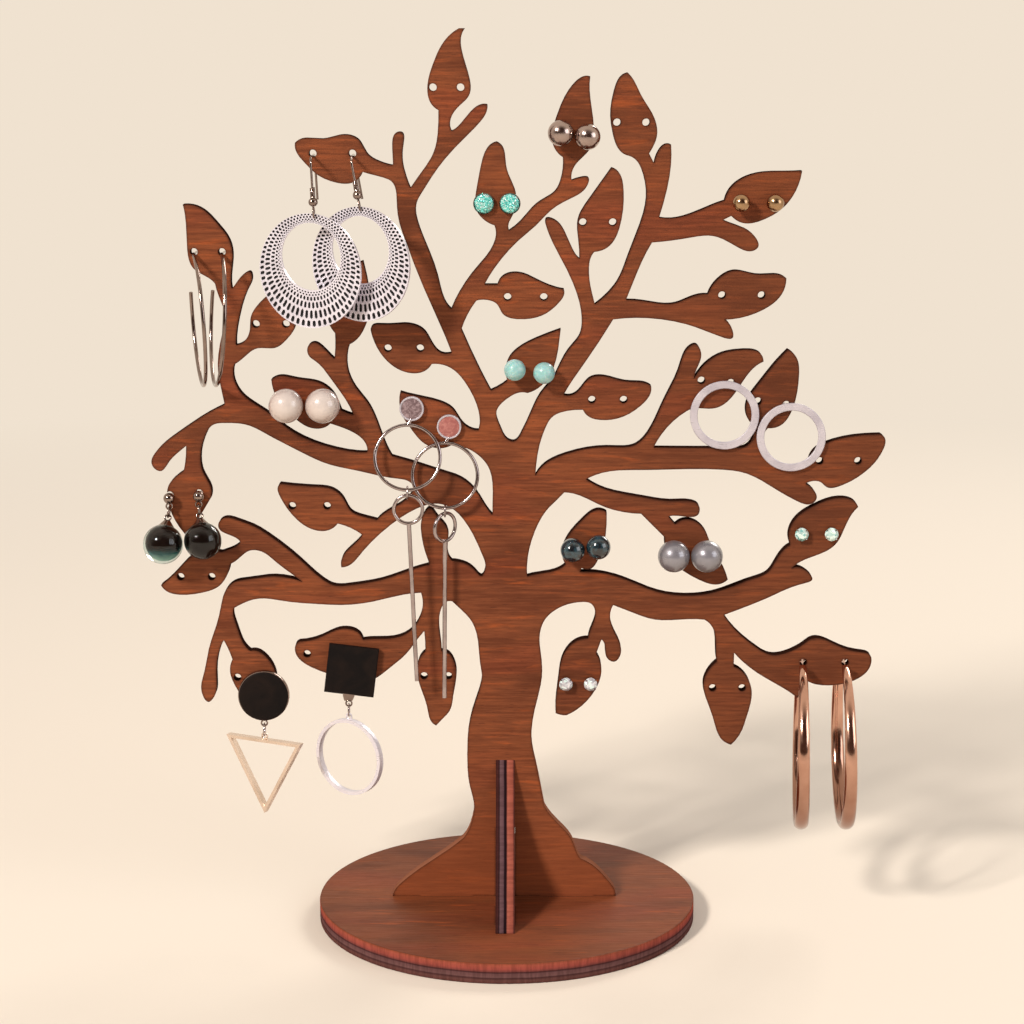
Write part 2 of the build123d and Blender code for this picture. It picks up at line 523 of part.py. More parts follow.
def cross_brace():
    front = brace_half(-1)
    rear = brace_half(1)
    top = Line(front[0] @ 0, rear[0] @ 0)
    foot = Line(front[2] @ 1, rear[2] @ 1)
    face = make_face([*front, *rear, top, foot])
    brace = Pos(BRACE_X, 0, 0) * extrude(face, amount=BRACE_PLY / 2, both=True)
    slot = PLY / 2 + JOINT_CLEARANCE
    slot_foot = BASE_THICKNESS + HALVING_HEIGHT
    above = BASE_THICKNESS + 2 * BRACE_HEIGHT
    brace -= box_between((BRACE_X - BRACE_PLY, -slot, slot_foot), (BRACE_X + BRACE_PLY, slot, above))
    for y in (TENON_INNER, -TENON_INNER - TENON_LENGTH):
        brace += box_between((BRACE_X - BRACE_PLY / 2, y, 0),
                             (BRACE_X + BRACE_PLY / 2, y + TENON_LENGTH, BASE_THICKNESS))
    return brace


def base_disc():
    disc = Pos(0, 0, BASE_THICKNESS / 2) * Cylinder(BASE_DIAMETER / 2, BASE_THICKNESS)
    disc = fillet(disc.edges(), BASE_EDGE_ROUND)
    gap = JOINT_CLEARANCE
    for start in (TENON_INNER, -TENON_INNER - TENON_LENGTH):
        end = start + TENON_LENGTH
        disc -= box_between((start - gap, -PLY / 2 - gap, -1),
                            (end + gap, PLY / 2 + gap, BASE_THICKNESS + 1))
        disc -= box_between((BRACE_X - BRACE_PLY / 2 - gap, start - gap, -1),
                            (BRACE_X + BRACE_PLY / 2 + gap, end + gap, BASE_THICKNESS + 1))
    return disc


def hung(leaf, side):
    """The axis of a post that rests in its hole, a little above the hole's lower wall."""
    x, z = hole(leaf, side)
    return x, z - (HOLE_RADIUS - POST_RADIUS - SEAT_GAP / 2)


def post(x, z, front):
    """A straight ear post from a stud through the leaf."""
    return along_y(POST_RADIUS, front, PLATE_BACK + POST_TAIL, x, z)


def ball_stud(leaf, side, diameter):
    x, z = hung(leaf, side)
    seat = PLATE_FRONT - SEAT_GAP
    bite = CUP_THICKNESS / 2
    centre = seat - CUP_THICKNESS - diameter / 2 + bite
    ball = Pos(x, centre, z) * Sphere(diameter / 2)
    cup = along_y(CUP_DIAMETER / 2, seat - CUP_THICKNESS, seat, x, z)
    return ball + cup + post(x, z, centre)


def dome_stud(leaf, side, diameter):
    """A flat-backed domed stone in a thin rim."""
    x, z = hung(leaf, side)
    seat = PLATE_FRONT - SEAT_GAP
    half = diameter / 2
    crown = -GLITTER_RIM - GLITTER_DOME
    out, up = GLITTER_SHOULDER
    shoulder = (half * out, -GLITTER_RIM - GLITTER_DOME * up)
    dome = ThreePointArc((0, crown), shoulder, (half, -GLITTER_RIM))
    back = Polyline((half, -GLITTER_RIM), (half, 0), (0, 0), (0, crown))
    stone = revolve(make_face([dome, back]), Axis.Y)
    return Pos(x, seat, z) * stone + post(x, z, seat - GLITTER_RIM)


def crystal_stud(leaf, side, diameter):
    """A round brilliant: eight-sided table and crown over a claw setting."""
    x, z = hung(leaf, side)
    seat = PLATE_FRONT - SEAT_GAP
    half = diameter / 2
    cup = along_y(half * CRYSTAL_CUP_SHARE, seat - CRYSTAL_SETTING, seat, x, z)
    girdle = Plane((x, seat - CRYSTAL_SETTING, z), x_dir=(1, 0, 0), z_dir=(0, -1, 0))
    table = girdle.offset(diameter * CRYSTAL_CROWN_SHARE)
    stone = loft([girdle * RegularPolygon(half, CRYSTAL_SIDES),
                  table * RegularPolygon(half * CRYSTAL_TABLE_SHARE, CRYSTAL_SIDES)])
    return cup + stone + post(x, z, seat - CRYSTAL_SETTING)


def ring_stud(leaf, shift):
    """A flat ring, whose post is at its top, a little to one side of its centre."""
    x, z = hung(leaf, 1)
    seat = PLATE_FRONT - SEAT_GAP
    outer = RING_STUD_DIAMETER / 2
    inner = outer - RING_STUD_BAND
    middle = outer - RING_STUD_BAND / 2
    centre = z - math.sqrt(middle * middle - shift * shift)
    band = along_y(outer, seat - RING_STUD_THICKNESS, seat, x + shift, centre)
    band -= along_y(inner, seat - 2 * RING_STUD_THICKNESS, seat + 1, x + shift, centre)
    return band + post(x, z, seat - RING_STUD_THICKNESS / 2)


def hook_top(side):
    """The axis of a hook's wire where it rests in its hole."""
    x, z = hole("filigree", side)
    return x, z - (HOLE_RADIUS - HOOK_WIRE / 2 - SEAT_GAP / 2)


def lean_hook(side, shape):
    """A shape drawn below a hook's top, leaning to the right with the hook."""
    x, top = hook_top(side)
    return Pos(x, PLATE_FRONT - FILIGREE_REACH, top) * Rot(0, -HOOK_LEANS[side], 0) * shape


def below_hook(side, drop):
    """A place below a hook's top, on its leaning front leg."""
    place = lean_hook(side, Pos(0, 0, -drop)).position
    return place.X, place.Y, place.Z


def filigree_hook(side):
    """A fish hook of wire through the leaf, with a coil, a bead and an eye on its front leg."""
    eye = -HOOK_DROPS[side]
    bead = eye + HOOK_EYE_DIAMETER / 2 + HOOK_BEAD / 2 - HOOK_WIRE / 2
    coil = bead + HOOK_BEAD / 2 - HOOK_WIRE / 2 + HOOK_COIL_LENGTH / 2
    back = FILIGREE_REACH + PLY + HOOK_BEND
    path = FilletPolyline((0, 0, bead), (0, 0, 0), (0, back, 0), (0, back + HOOK_TAIL_SLANT, -HOOK_TAIL),
                          radius=HOOK_BEND_RADIUS)
    hook = sweep(Plane((0, 0, bead), z_dir=(0, 0, 1)) * Circle(HOOK_WIRE / 2), path)
    hook += Pos(0, 0, coil) * Cylinder(HOOK_COIL_DIAMETER / 2, HOOK_COIL_LENGTH)
    hook += Pos(0, 0, bead) * Sphere(HOOK_BEAD / 2)
    return lean_hook(side, hook + ring(HOOK_EYE_DIAMETER, HOOK_EYE_WIRE, 0, 0, eye, "x"))


def filigree_disc(side):
    """A thin round disc with an off-centre opening, hung from a small hole near its top."""
    foot = below_hook(side, HOOK_DROPS[side] + (HOOK_EYE_DIAMETER - HOOK_EYE_WIRE) / 2)
    small_hole = HOOK_EYE_WIRE / 2 + LINK_GAP - FILIGREE_EYE / 2
    centre = small_hole + FILIGREE_EYE_EDGE - FILIGREE_DIAMETER / 2
    half = FILIGREE_THICKNESS / 2
    disc = along_y(FILIGREE_DIAMETER / 2, -half, half, 0, centre)
    disc -= along_y(FILIGREE_OPENING / 2, -half - 1, half + 1, 0, centre + FILIGREE_OPENING_RISE)
    disc -= along_y(FILIGREE_EYE / 2, -half - 1, half + 1, 0, small_hole)
    return Pos(*foot) * Rot(0, 0, -FILIGREE_TURNS[side]) * Rot(0, FILIGREE_ROLLS[side], 0) * disc


def hoop_point(radius, angle):
    """A point of a hoop in the YZ plane, at an angle from its top towards the front."""
    turn = math.radians(angle)
    return Vector(0, -radius * math.sin(turn), radius * math.cos(turn))


def silver_hoop(side):
    """An open wire hoop whose straight post goes through the leaf; its free end stops behind it."""
    x, z = hung("silver hoops", side)
    radius = (SILVER_HOOP_DIAMETER - SILVER_HOOP_WIRE) / 2
    front = PLATE_FRONT - SEAT_GAP - SILVER_HOOP_WIRE / 2
    start = math.degrees(math.asin(-front / radius))
    end = 360 - SILVER_HOOP_OPEN_ANGLE
    first = hoop_point(radius, start)
    path = ThreePointArc(first, hoop_point(radius, (start + end) / 2), hoop_point(radius, end))
    wire = sweep(Plane(origin=path @ 0, z_dir=path % 0) * Circle(SILVER_HOOP_WIRE / 2), path)
    turn = Rot(0, SILVER_HOOP_LEANS[side], 0) * Rot(0, 0, SILVER_HOOP_TURN)
    hoop = Pos(x, front, z) * turn * Pos(0, -first.Y, -first.Z) * wire
    return hoop + post(x, z, front)


def gold_hoop(side):
    """A puffed crescent hoop, deepest at the bottom, closed at the top by a post through the leaf."""
    x, z = hung("gold hoops", side)
    outer = GOLD_HOOP_DIAMETER / 2
    inner = outer - (GOLD_HOOP_DEPTH + GOLD_HOOP_TOP_DEPTH) / 2
    rise = (GOLD_HOOP_DEPTH - GOLD_HOOP_TOP_DEPTH) / 2
    crescent = Rot(0, 90, 0) * Cylinder(outer, GOLD_HOOP_WIDTH)
    crescent -= Pos(0, 0, rise) * Rot(0, 90, 0) * Cylinder(inner, 2 * GOLD_HOOP_WIDTH)
    crescent = fillet(crescent.edges().filter_by(GeomType.CIRCLE), GOLD_HOOP_EDGE_ROUND)
    half = GOLD_HOOP_CLASP / 2
    crescent -= box_between((-GOLD_HOOP_WIDTH, -half, 0), (GOLD_HOOP_WIDTH, half, 2 * outer))
    wire_z = math.sqrt(outer * outer - half * half) - GOLD_HOOP_TOP_DEPTH / 2
    reach = half + POST_RADIUS
    wire = along_y(POST_RADIUS, -reach, reach, 0, wire_z)
    turn = Rot(0, -GOLD_HOOP_LEANS[side], 0) * Rot(0, 0, -GOLD_HOOP_TURNS[side])
    return Pos(x, 0, z) * turn * Pos(0, 0, -wire_z) * (crescent + wire)


def link_centre(diameter, upper_z, upper_radius):
    """The height of a link's centre, where the link hangs on a wire above."""
    return upper_z + upper_radius + LINK_GAP - (diameter / 2 - LINK_WIRE)


def wire_below(diameter, centre, radius):
    """The height of a wire that hangs in the foot of a link."""
    return centre - (diameter / 2 - LINK_WIRE) + radius + LINK_GAP


def big_ring_frame(side):
    """The place of a ring drop's neck, from which the big ring leans forward."""
    x, z = hung("ring drops", side)
    y = PLATE_FRONT - SEAT_GAP - ROSE_DISC_THICKNESS / 2
    return Pos(x, y, z - ROSE_DISC_DIAMETER / 2) * Rot(-BIG_RING_LEANS[side], 0, 0)


def ring_drop_stud(side):
    """A small round disc with a neck that carries the big ring."""
    x, z = hung("ring drops", side)
    seat = PLATE_FRONT - SEAT_GAP
    disc = along_y(ROSE_DISC_DIAMETER / 2, seat, seat - ROSE_DISC_THICKNESS, x, z)
    half = BIG_RING_WIRE / 2
    neck_line = Line((0, 0, half), (RING_DROP_SHIFT, 0, -RING_DROP_NECK - half))
    neck = sweep(Plane(origin=neck_line @ 0, z_dir=neck_line % 0) * Circle(half), neck_line)
    centre = -RING_DROP_NECK - BIG_RING_DIAMETER / 2
    big = ring(BIG_RING_DIAMETER, BIG_RING_WIRE, RING_DROP_SHIFT, 0, centre)
    return disc + big_ring_frame(side) * (neck + big) + post(x, z, seat - ROSE_DISC_THICKNESS / 2)


def ring_drop_hinge(side):
    """The bottom wire of the big ring, which the drop swings on."""
    foot = -RING_DROP_NECK - BIG_RING_DIAMETER + BIG_RING_WIRE / 2
    place = (big_ring_frame(side) * Pos(RING_DROP_SHIFT, 0, foot)).position
    return place.X, place.Y, place.Z


def ring_drop_link(side):
    x, y, z = ring_drop_hinge(side)
    centre = link_centre(RING_LINK_DIAMETER, z, BIG_RING_WIRE / 2)
    return ring(RING_LINK_DIAMETER, LINK_WIRE, x, y, centre, "x")


def ring_drop_bar(side):
    """A small ring with a long bar below it."""
    x, y, z = ring_drop_hinge(side)
    link = link_centre(RING_LINK_DIAMETER, z, BIG_RING_WIRE / 2)
    top = wire_below(RING_LINK_DIAMETER, link, SMALL_RING_WIRE / 2)
    centre = (SMALL_RING_WIRE - SMALL_RING_DIAMETER) / 2
    bar_top = 2 * centre
    small = Rot(0, 0, SMALL_RING_TURNS[side]) * ring(SMALL_RING_DIAMETER, SMALL_RING_WIRE, 0, 0, centre)
    bar = Pos(0, 0, bar_top - BAR_LENGTH / 2) * Cylinder(BAR_DIAMETER / 2, BAR_LENGTH)
    return Pos(x, y, top) * Rot(0, BAR_LEANS[side], 0) * (small + bar)


def stud_eye(x, y, top):
    """A small eye below a stud, and the height of its bottom wire."""
    eye = ring(EYE_DIAMETER, LINK_WIRE, x, y, top - EYE_DIAMETER / 2 + LINK_WIRE / 2)
    return eye, top - EYE_DIAMETER + LINK_WIRE


def black_circle_place():
    x, z = hung("black circle", 1)
    y = PLATE_FRONT - SEAT_GAP - BLACK_THICKNESS / 2
    return x, y, z - BLACK_CIRCLE_DROP


def black_circle_stud():
    x, y, z = black_circle_place()
    half = BLACK_THICKNESS / 2
    disc = along_y(BLACK_CIRCLE_DIAMETER / 2, y - half, y + half, x, z)
    disc = fillet(disc.edges(), BLACK_EDGE_ROUND)
    eye, _ = stud_eye(x, y, z - BLACK_CIRCLE_DIAMETER / 2)
    return disc + eye + post(x, hung("black circle", 1)[1], y)


def triangle_hinge():
    x, y, z = black_circle_place()
    return x, y, stud_eye(x, y, z - BLACK_CIRCLE_DIAMETER / 2)[1]


def triangle_link():
    x, y, z = triangle_hinge()
    centre = link_centre(DROP_LINK_DIAMETER, z, LINK_WIRE / 2)
    return ring(DROP_LINK_DIAMETER, LINK_WIRE, x, y, centre, "x")


def eye_on_bar(link, wall):
    """An eye in a link, and the height of the top of the bar below it."""
    wire = wire_below(DROP_LINK_DIAMETER, link, LINK_WIRE / 2)
    eye = ring(EYE_DIAMETER, LINK_WIRE, 0, 0, wire + LINK_WIRE / 2 - EYE_DIAMETER / 2)
    return eye, wire + LINK_WIRE / 2 - EYE_DIAMETER + min(LINK_WIRE, wall) / 2


def triangle_drop():
    """Three ribbon bars in a triangle, with an eye on its top bar and one corner down."""
    x, y, z = triangle_hinge()
    link = link_centre(DROP_LINK_DIAMETER, 0, LINK_WIRE / 2)
    eye, top = eye_on_bar(link, TRIANGLE_BAR)
    height = TRIANGLE_HEIGHT
    half = TRIANGLE_SIDE / 2
    outline = Plane.XZ * make_face(Polyline((-half, 0), (half, 0), (0, -height), close=True))
    side_length = math.hypot(half, height)
    inner_half = half - TRIANGLE_BAR * (side_length + half) / height
    inner_tip = -height + TRIANGLE_BAR * side_length / half
    corners = ((-inner_half, -TRIANGLE_BAR), (inner_half, -TRIANGLE_BAR), (0, inner_tip))
    opening = Plane.XZ * make_face(Polyline(*corners, close=True))
    bars = extrude(outline, amount=TRIANGLE_DEPTH / 2, both=True)
    bars -= extrude(opening, amount=TRIANGLE_DEPTH, both=True)
    return Pos(x, y, z) * Rot(0, 0, TRIANGLE_TURN) * (eye + Pos(0, 0, top) * bars)


def black_square_place():
    x, z = hung("black square", 1)
    y = PLATE_FRONT - SEAT_GAP - BLACK_THICKNESS / 2
    return x + BLACK_SQUARE_SHIFT, y, z - BLACK_SQUARE_DROP


def black_square_foot():
    """The middle of the turned square's bottom edge."""
    x, y, z = black_square_place()
    turn = math.radians(BLACK_SQUARE_TURN)
    half = BLACK_SQUARE_SIDE / 2
    return x - half * math.sin(turn), y, z - half * math.cos(turn)


def black_square_stud():
    x, y, z = black_square_place()
    square = Box(BLACK_SQUARE_SIDE, BLACK_THICKNESS, BLACK_SQUARE_SIDE)
    square = Pos(x, y, z) * Rot(0, BLACK_SQUARE_TURN, 0) * fillet(square.edges(), BLACK_EDGE_ROUND)
    foot_x, _, foot_z = black_square_foot()
    half = SQUARE_CAP_WIDTH / 2
    cap_foot = foot_z - SQUARE_CAP_HEIGHT
    cap = box_between((foot_x - half, y - BLACK_THICKNESS / 2, cap_foot), (foot_x + half, y, foot_z + 1))
    post_x, post_z = hung("black square", 1)
    eye, _ = stud_eye(foot_x, y - BLACK_THICKNESS / 4, cap_foot + LINK_WIRE / 2)
    return square + cap + eye + post(post_x, post_z, y)


def flat_ring_hinge():
    x, y, z = black_square_foot()
    y -= BLACK_THICKNESS / 4
    return x, y, stud_eye(x, y, z - SQUARE_CAP_HEIGHT + LINK_WIRE / 2)[1]


def flat_ring_link():
    x, y, z = flat_ring_hinge()
    centre = link_centre(DROP_LINK_DIAMETER, z, LINK_WIRE / 2)
    return ring(DROP_LINK_DIAMETER, LINK_WIRE, x, y, centre, "x")


def flat_ring_drop():
    """A ribbon ring with an eye at its top, turned a little in the link."""
    x, y, z = flat_ring_hinge()
    link = link_centre(DROP_LINK_DIAMETER, 0, LINK_WIRE / 2)
    eye, top = eye_on_bar(link, FLAT_RING_WALL)
    outer = FLAT_RING_DIAMETER / 2
    half = FLAT_RING_DEPTH / 2
    band = along_y(outer, -half, half, 0, top - outer)
    band -= along_y(outer - FLAT_RING_WALL, -half - 1, half + 1, 0, top - outer)
    return Pos(x, y, z) * Rot(0, 0, FLAT_RING_TURN) * (eye + band)


def glass_drop_stud(side):
    """A small ball stud with an eye below it."""
    x, z = hung("glass drops", side)
    seat = PLATE_FRONT - SEAT_GAP
    y = seat - GLASS_STUD / 2
    eye, _ = stud_eye(x, y, z - GLASS_STUD / 2 + GLASS_EYE_SINK)
    return Pos(x, y, z) * Sphere(GLASS_STUD / 2) + eye + post(x, z, y)


def glass_drop_hinge(side):
    x, z = hung("glass drops", side)
    y = PLATE_FRONT - SEAT_GAP - GLASS_STUD / 2
    return x, y, stud_eye(x, y, z - GLASS_STUD / 2 + GLASS_EYE_SINK)[1]


def glass_hang(side, shape):
    """A shape of a glass drop, drawn below its hinge, leaning on the edge of the leaf."""
    lean = Rot(-GLASS_LEAN, 0, 0) * Rot(0, GLASS_SPREADS[side], 0)
    return Pos(*glass_drop_hinge(side)) * lean * shape


def glass_link_heights():
    """Heights below the hinge: the link's centre, the cap's eye and the cap's foot."""
    link = link_centre(GLASS_LINK_DIAMETER, 0, LINK_WIRE / 2)
    eye_wire = wire_below(GLASS_LINK_DIAMETER, link, LINK_WIRE / 2)
    eye = eye_wire + LINK_WIRE / 2 - EYE_DIAMETER / 2
    return link, eye, eye - EYE_DIAMETER / 2 + LINK_WIRE / 2 - GLASS_CAP_HEIGHT


def glass_drop_cap(side):
    """The link, as its own ring, and the bell cap with its eye."""
    link, eye, foot = glass_link_heights()
    cap = Cone(GLASS_CAP_DIAMETER / 2, GLASS_CAP_TOP_DIAMETER / 2, GLASS_CAP_HEIGHT)
    cap = Pos(0, 0, foot + GLASS_CAP_HEIGHT / 2) * cap
    cap += ring(EYE_DIAMETER, LINK_WIRE, 0, 0, eye)
    ball = GLASS_BALLS[side] / 2
    sink = ball - math.sqrt(ball * ball - GLASS_CAP_DIAMETER * GLASS_CAP_DIAMETER / 4)
    cap -= Pos(0, 0, foot + sink - ball) * Sphere(ball)
    links = ring(GLASS_LINK_DIAMETER, LINK_WIRE, 0, 0, link, "x")
    return glass_hang(side, Compound([cap.solid(), links.solid()]))


def glass_ball(side):
    """A glass ball seated in the hollow foot of its cap."""
    _, _, foot = glass_link_heights()
    ball = GLASS_BALLS[side] / 2
    sink = ball - math.sqrt(ball * ball - GLASS_CAP_DIAMETER * GLASS_CAP_DIAMETER / 4)
    return glass_hang(side, Pos(0, 0, foot + sink - ball - GLASS_GAP) * Sphere(ball))


save("tree_plate", tree_plate())
save("cross_brace", cross_brace())
save("base_disc", base_disc())

PAIRS = {
    "white_pearl_stud": lambda side: ball_stud("white pearls", side, WHITE_PEARL),
    "grey_pearl_stud": lambda side: ball_stud("grey pearls", side, GREY_PEARL),
    "aqua_stud": lambda side: ball_stud("aqua", side, AQUA_BEAD),
    "dark_bead_stud": lambda side: ball_stud("dark beads", side, DARK_BEAD),
    "silver_ball_stud": lambda side: ball_stud("silver balls", side, SILVER_BALL),
    "gold_ball_stud": lambda side: ball_stud("gold balls", side, GOLD_BALL),
    "glitter_stud": lambda side: dome_stud("glitter", side, GLITTER_STUD),
    "turquoise_crystal_stud": lambda side: crystal_stud("turquoise crystals", side, TURQUOISE_CRYSTAL),
    "clear_crystal_stud": lambda side: crystal_stud("clear crystals", side, CLEAR_CRYSTAL),
    "filigree_hook": filigree_hook,
    "filigree_disc": filigree_disc,
    "silver_hoop": silver_hoop,
    "gold_hoop": gold_hoop,
    "ring_drop_stud": ring_drop_stud,
    "ring_drop_link": ring_drop_link,
    "ring_drop_bar": ring_drop_bar,
    "glass_drop_stud": glass_drop_stud,
    "glass_drop_cap": glass_drop_cap,
    "glass_ball": glass_ball,
}
for name, make in PAIRS.items():
    for side, place in enumerate(("left", "right")):
        save(f"{name}_{place}", make(side))

save("ring_stud_left", ring_stud("first ring stud", RING_STUD_SHIFTS[0]))
save("ring_stud_right", ring_stud("second ring stud", RING_STUD_SHIFTS[1]))
save("black_circle_stud", black_circle_stud())
save("triangle_link", triangle_link())
save("triangle_drop", triangle_drop())
save("black_square_stud", black_square_stud())
save("flat_ring_link", flat_ring_link())
save("flat_ring_drop", flat_ring_drop())
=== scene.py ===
import math

import bmesh
import bpy
from mathutils import Matrix, Vector


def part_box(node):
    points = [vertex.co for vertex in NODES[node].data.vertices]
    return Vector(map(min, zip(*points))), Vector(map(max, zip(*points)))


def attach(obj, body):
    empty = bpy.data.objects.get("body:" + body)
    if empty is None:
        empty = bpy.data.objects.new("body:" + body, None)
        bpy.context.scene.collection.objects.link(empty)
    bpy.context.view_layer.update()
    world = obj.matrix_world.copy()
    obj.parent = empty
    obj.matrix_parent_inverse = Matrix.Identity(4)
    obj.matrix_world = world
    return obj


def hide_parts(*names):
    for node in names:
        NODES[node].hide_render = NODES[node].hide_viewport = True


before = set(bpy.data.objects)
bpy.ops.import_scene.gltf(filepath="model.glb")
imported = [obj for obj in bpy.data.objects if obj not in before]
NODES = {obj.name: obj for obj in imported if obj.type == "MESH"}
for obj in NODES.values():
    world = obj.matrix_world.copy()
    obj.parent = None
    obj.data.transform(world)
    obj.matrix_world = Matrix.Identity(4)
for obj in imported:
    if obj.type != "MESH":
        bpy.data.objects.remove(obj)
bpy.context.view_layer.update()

MM = 0.001
SIDES = ("left", "right")
X_AXIS, Y_AXIS, Z_AXIS = range(3)
FULL_TURN = 2 * math.pi

# Directions: a form is drawn along its own +Z and then turned.
FRONT = Matrix.Rotation(math.radians(90), 4, "X")
SIDEWAYS = Matrix.Rotation(math.radians(90), 4, "Y")

# Sizes and places that the pieces share with the solids they stand for, in millimetres, and
# how far they turn, in degrees: a lean to the right or the front, a turn about the upright
PLATE_FRONT = -2.2
PLATE_BACK = 2.2
SEAT = PLATE_FRONT - 0.3
BASE_TOP = 7.0
BRACE_FACES = (-3.75, 2.75)
POST_RADIUS = 0.4
POST_TAIL = 3.0
RING_STUD_WIDTH = 2.5
RING_STUD_THICKNESS = 1.3
RING_STUD_SHIFT = {"left": -2.0, "right": 1.75}
HOOK_FRONT = PLATE_FRONT - 9.6
HOOK_X = {"left": -63.5, "right": -50.5}
HOOK_TOP = 262.55
HOOK_DROP = {"left": 17.7, "right": 15.6}
HOOK_LEAN = {"left": 2.6, "right": 9.8}
HOOK_WIRE = 0.4
HOOK_EYE = 1.78
DISC_RADIUS = 18.75
DISC_DROP = 17.48
DISC_OPENING = 11.0
DISC_OPENING_RISE = 4.7
DISC_THICKNESS = 0.8
DISC_TURN = {"left": 24.0, "right": 29.0}
DISC_ROLL = {"left": 5.6, "right": 0.0}
GOLD_HOOP_RADIUS = 59.5 / 2
GOLD_HOOP_X = {"left": 101.25, "right": 115.5}
GOLD_HOOP_Z = 90.3
GOLD_HOOP_HALF_GAP = 5.5
GOLD_HOOP_LEAN = {"left": 0.5, "right": 1.3}
GOLD_HOOP_TURN = {"left": 5.0, "right": 2.6}
RING_DROP_PLACE = {"left": (-31.7, 178.8), "right": (-19.25, 172.7)}
RING_DROP_LEAN = {"left": 15.7, "right": 8.2}
RING_DROP_SHIFT = -1.4
RING_DROP_NECK = 0.8
BEZEL_RADIUS = 4.1
BIG_RING_RADIUS = 10.9
BIG_RING_WIRE = 0.6
BLACK_THICKNESS = 2.0
CIRCLE_POST = (-83.0, 85.0)
SQUARE_CENTRE = (-52.9, 88.6)
SQUARE_HALF = 8.5
SQUARE_TURN = 7.0
SQUARE_POST = (-56.5, 93.3)
EYE_RADIUS = 1.0
EYE_WIRE = 0.3
BURN_WIDTH = 1.1

# A glass drop's dark heart, a painted reflection of a dark room seen through the clear glass: its
# share of the ball's radius, and how far right and up it lies
PAINTED_HEART = {"left": (0.645, 0.20, 0.35), "right": (0.70, 0.0, 0.0)}

# The photograph's camera, in metres, degrees and pixels
FRAME_PIXELS = 1024
FOCAL_PIXELS = 2500
SENSOR_MM = 36.0
CAMERA_PLACE = (0.0018, -0.828, 0.312)
CAMERA_DOWN = 11.54


def colour(red, green, blue):
    """A colour as it is seen, 0 to 255, in the linear values that the shaders take."""
    shares = [c / 255 for c in (red, green, blue)]
    return (*[c / 12.92 if c <= 0.04045 else ((c + 0.055) / 1.055) ** 2.4 for c in shares], 1)


def darker(shade, share):
    """A colour with its three values brought down by a share."""
    return tuple(c * share for c in shade[:3]) + (1,)


class Nodes:
    """Short calls that fill a node tree."""

    def __init__(self, tree):
        self.tree = tree
        self.tree.nodes.clear()

    def node(self, kind, **settings):
        made = self.tree.nodes.new(kind)
        for name, value in settings.items():
            setattr(made, name, value)
        return made

    def put(self, socket, value):
        if isinstance(value, bpy.types.NodeSocket):
            self.tree.links.new(value, socket)
        else:
            socket.default_value = value

    def maths(self, operation, *values):
        made = self.node("ShaderNodeMath", operation=operation)
        for socket, value in zip(made.inputs, values):
            self.put(socket, value)
        return made.outputs[0]

    def part(self, vector, axis):
        made = self.node("ShaderNodeSeparateXYZ")
        self.put(made.inputs[0], vector)
        return made.outputs[axis]

    def either(self, share, first, second):
        """The first shader, and the second one by its share."""
        made = self.node("ShaderNodeMixShader")
        for socket, value in zip(made.inputs, (share, first, second)):
            self.put(socket, value)
        return made.outputs[0]


class Shader(Nodes):
    """One material: a Principled surface, and short calls for the nodes that feed it."""

    def __init__(self, name, **values):
        self.material = bpy.data.materials.new(name)
        self.material.use_nodes = True
        super().__init__(self.material.node_tree)
        self.output = self.node("ShaderNodeOutputMaterial").inputs["Surface"]
        self.surface = self.node("ShaderNodeBsdfPrincipled")
        self.put(self.output, self.surface.outputs[0])
        self.place = self.node("ShaderNodeTexCoord")
        self.set(**values)

    def set(self, **values):
        for name, value in values.items():
            self.put(self.surface.inputs[name.replace("_", " ")], value)

    def tone(self):
        """What feeds the surface's colour so far."""
        return self.surface.inputs["Base Color"].links[0].from_socket

    def points(self, stretch, shift=(0, 0, 0)):
        """The object's own coordinates, with so many units to the metre along each axis."""
        mapping = self.node("ShaderNodeMapping")
        self.put(mapping.inputs["Vector"], self.place.outputs["Object"])
        mapping.inputs["Scale"].default_value = stretch
        mapping.inputs["Location"].default_value = shift
        return mapping.outputs[0]

    def noise(self, stretch, detail=3.0, rough=0.55, bend=0.0, shift=(0, 0, 0)):
        made = self.node("ShaderNodeTexNoise")
        self.put(made.inputs["Vector"], self.points(stretch, shift))
        made.inputs["Scale"].default_value = 1.0
        made.inputs["Detail"].default_value = detail
        made.inputs["Roughness"].default_value = rough
        made.inputs["Distortion"].default_value = bend
        return made.outputs["Fac"]

    def cells(self, size):
        made = self.node("ShaderNodeTexVoronoi")
        self.put(made.inputs["Vector"], self.points((1 / size,) * 3))
        made.inputs["Scale"].default_value = 1.0
        return made

    def ramp(self, value, *stops):
        made = self.node("ShaderNodeValToRGB")
        elements = made.color_ramp.elements
        while len(elements) < len(stops):
            elements.new(0.5)
        for element, (position, shade) in zip(elements, stops):
            element.position = position
        for element, (position, shade) in zip(elements, stops):
            element.color = shade if isinstance(shade, tuple) else (shade, shade, shade, 1)
        self.put(made.inputs[0], value)
        return made.outputs[0]

    def mix(self, share, first, second):
        made = self.node("ShaderNodeMix", data_type="RGBA")
        self.put(made.inputs[0], share)
        self.put(made.inputs[6], first)
        self.put(made.inputs[7], second)
        return made.outputs[2]

    def bump(self, height, distance, strength=1.0):
        made = self.node("ShaderNodeBump")
        made.inputs["Strength"].default_value = strength
        made.inputs["Distance"].default_value = distance
        self.put(made.inputs["Height"], height)
        return made.outputs[0]


def along(grain, far, near):
    """A stretch of noise: coarse along the grain axis and fine across it."""
    return tuple(far if axis == grain else near for axis in range(3))


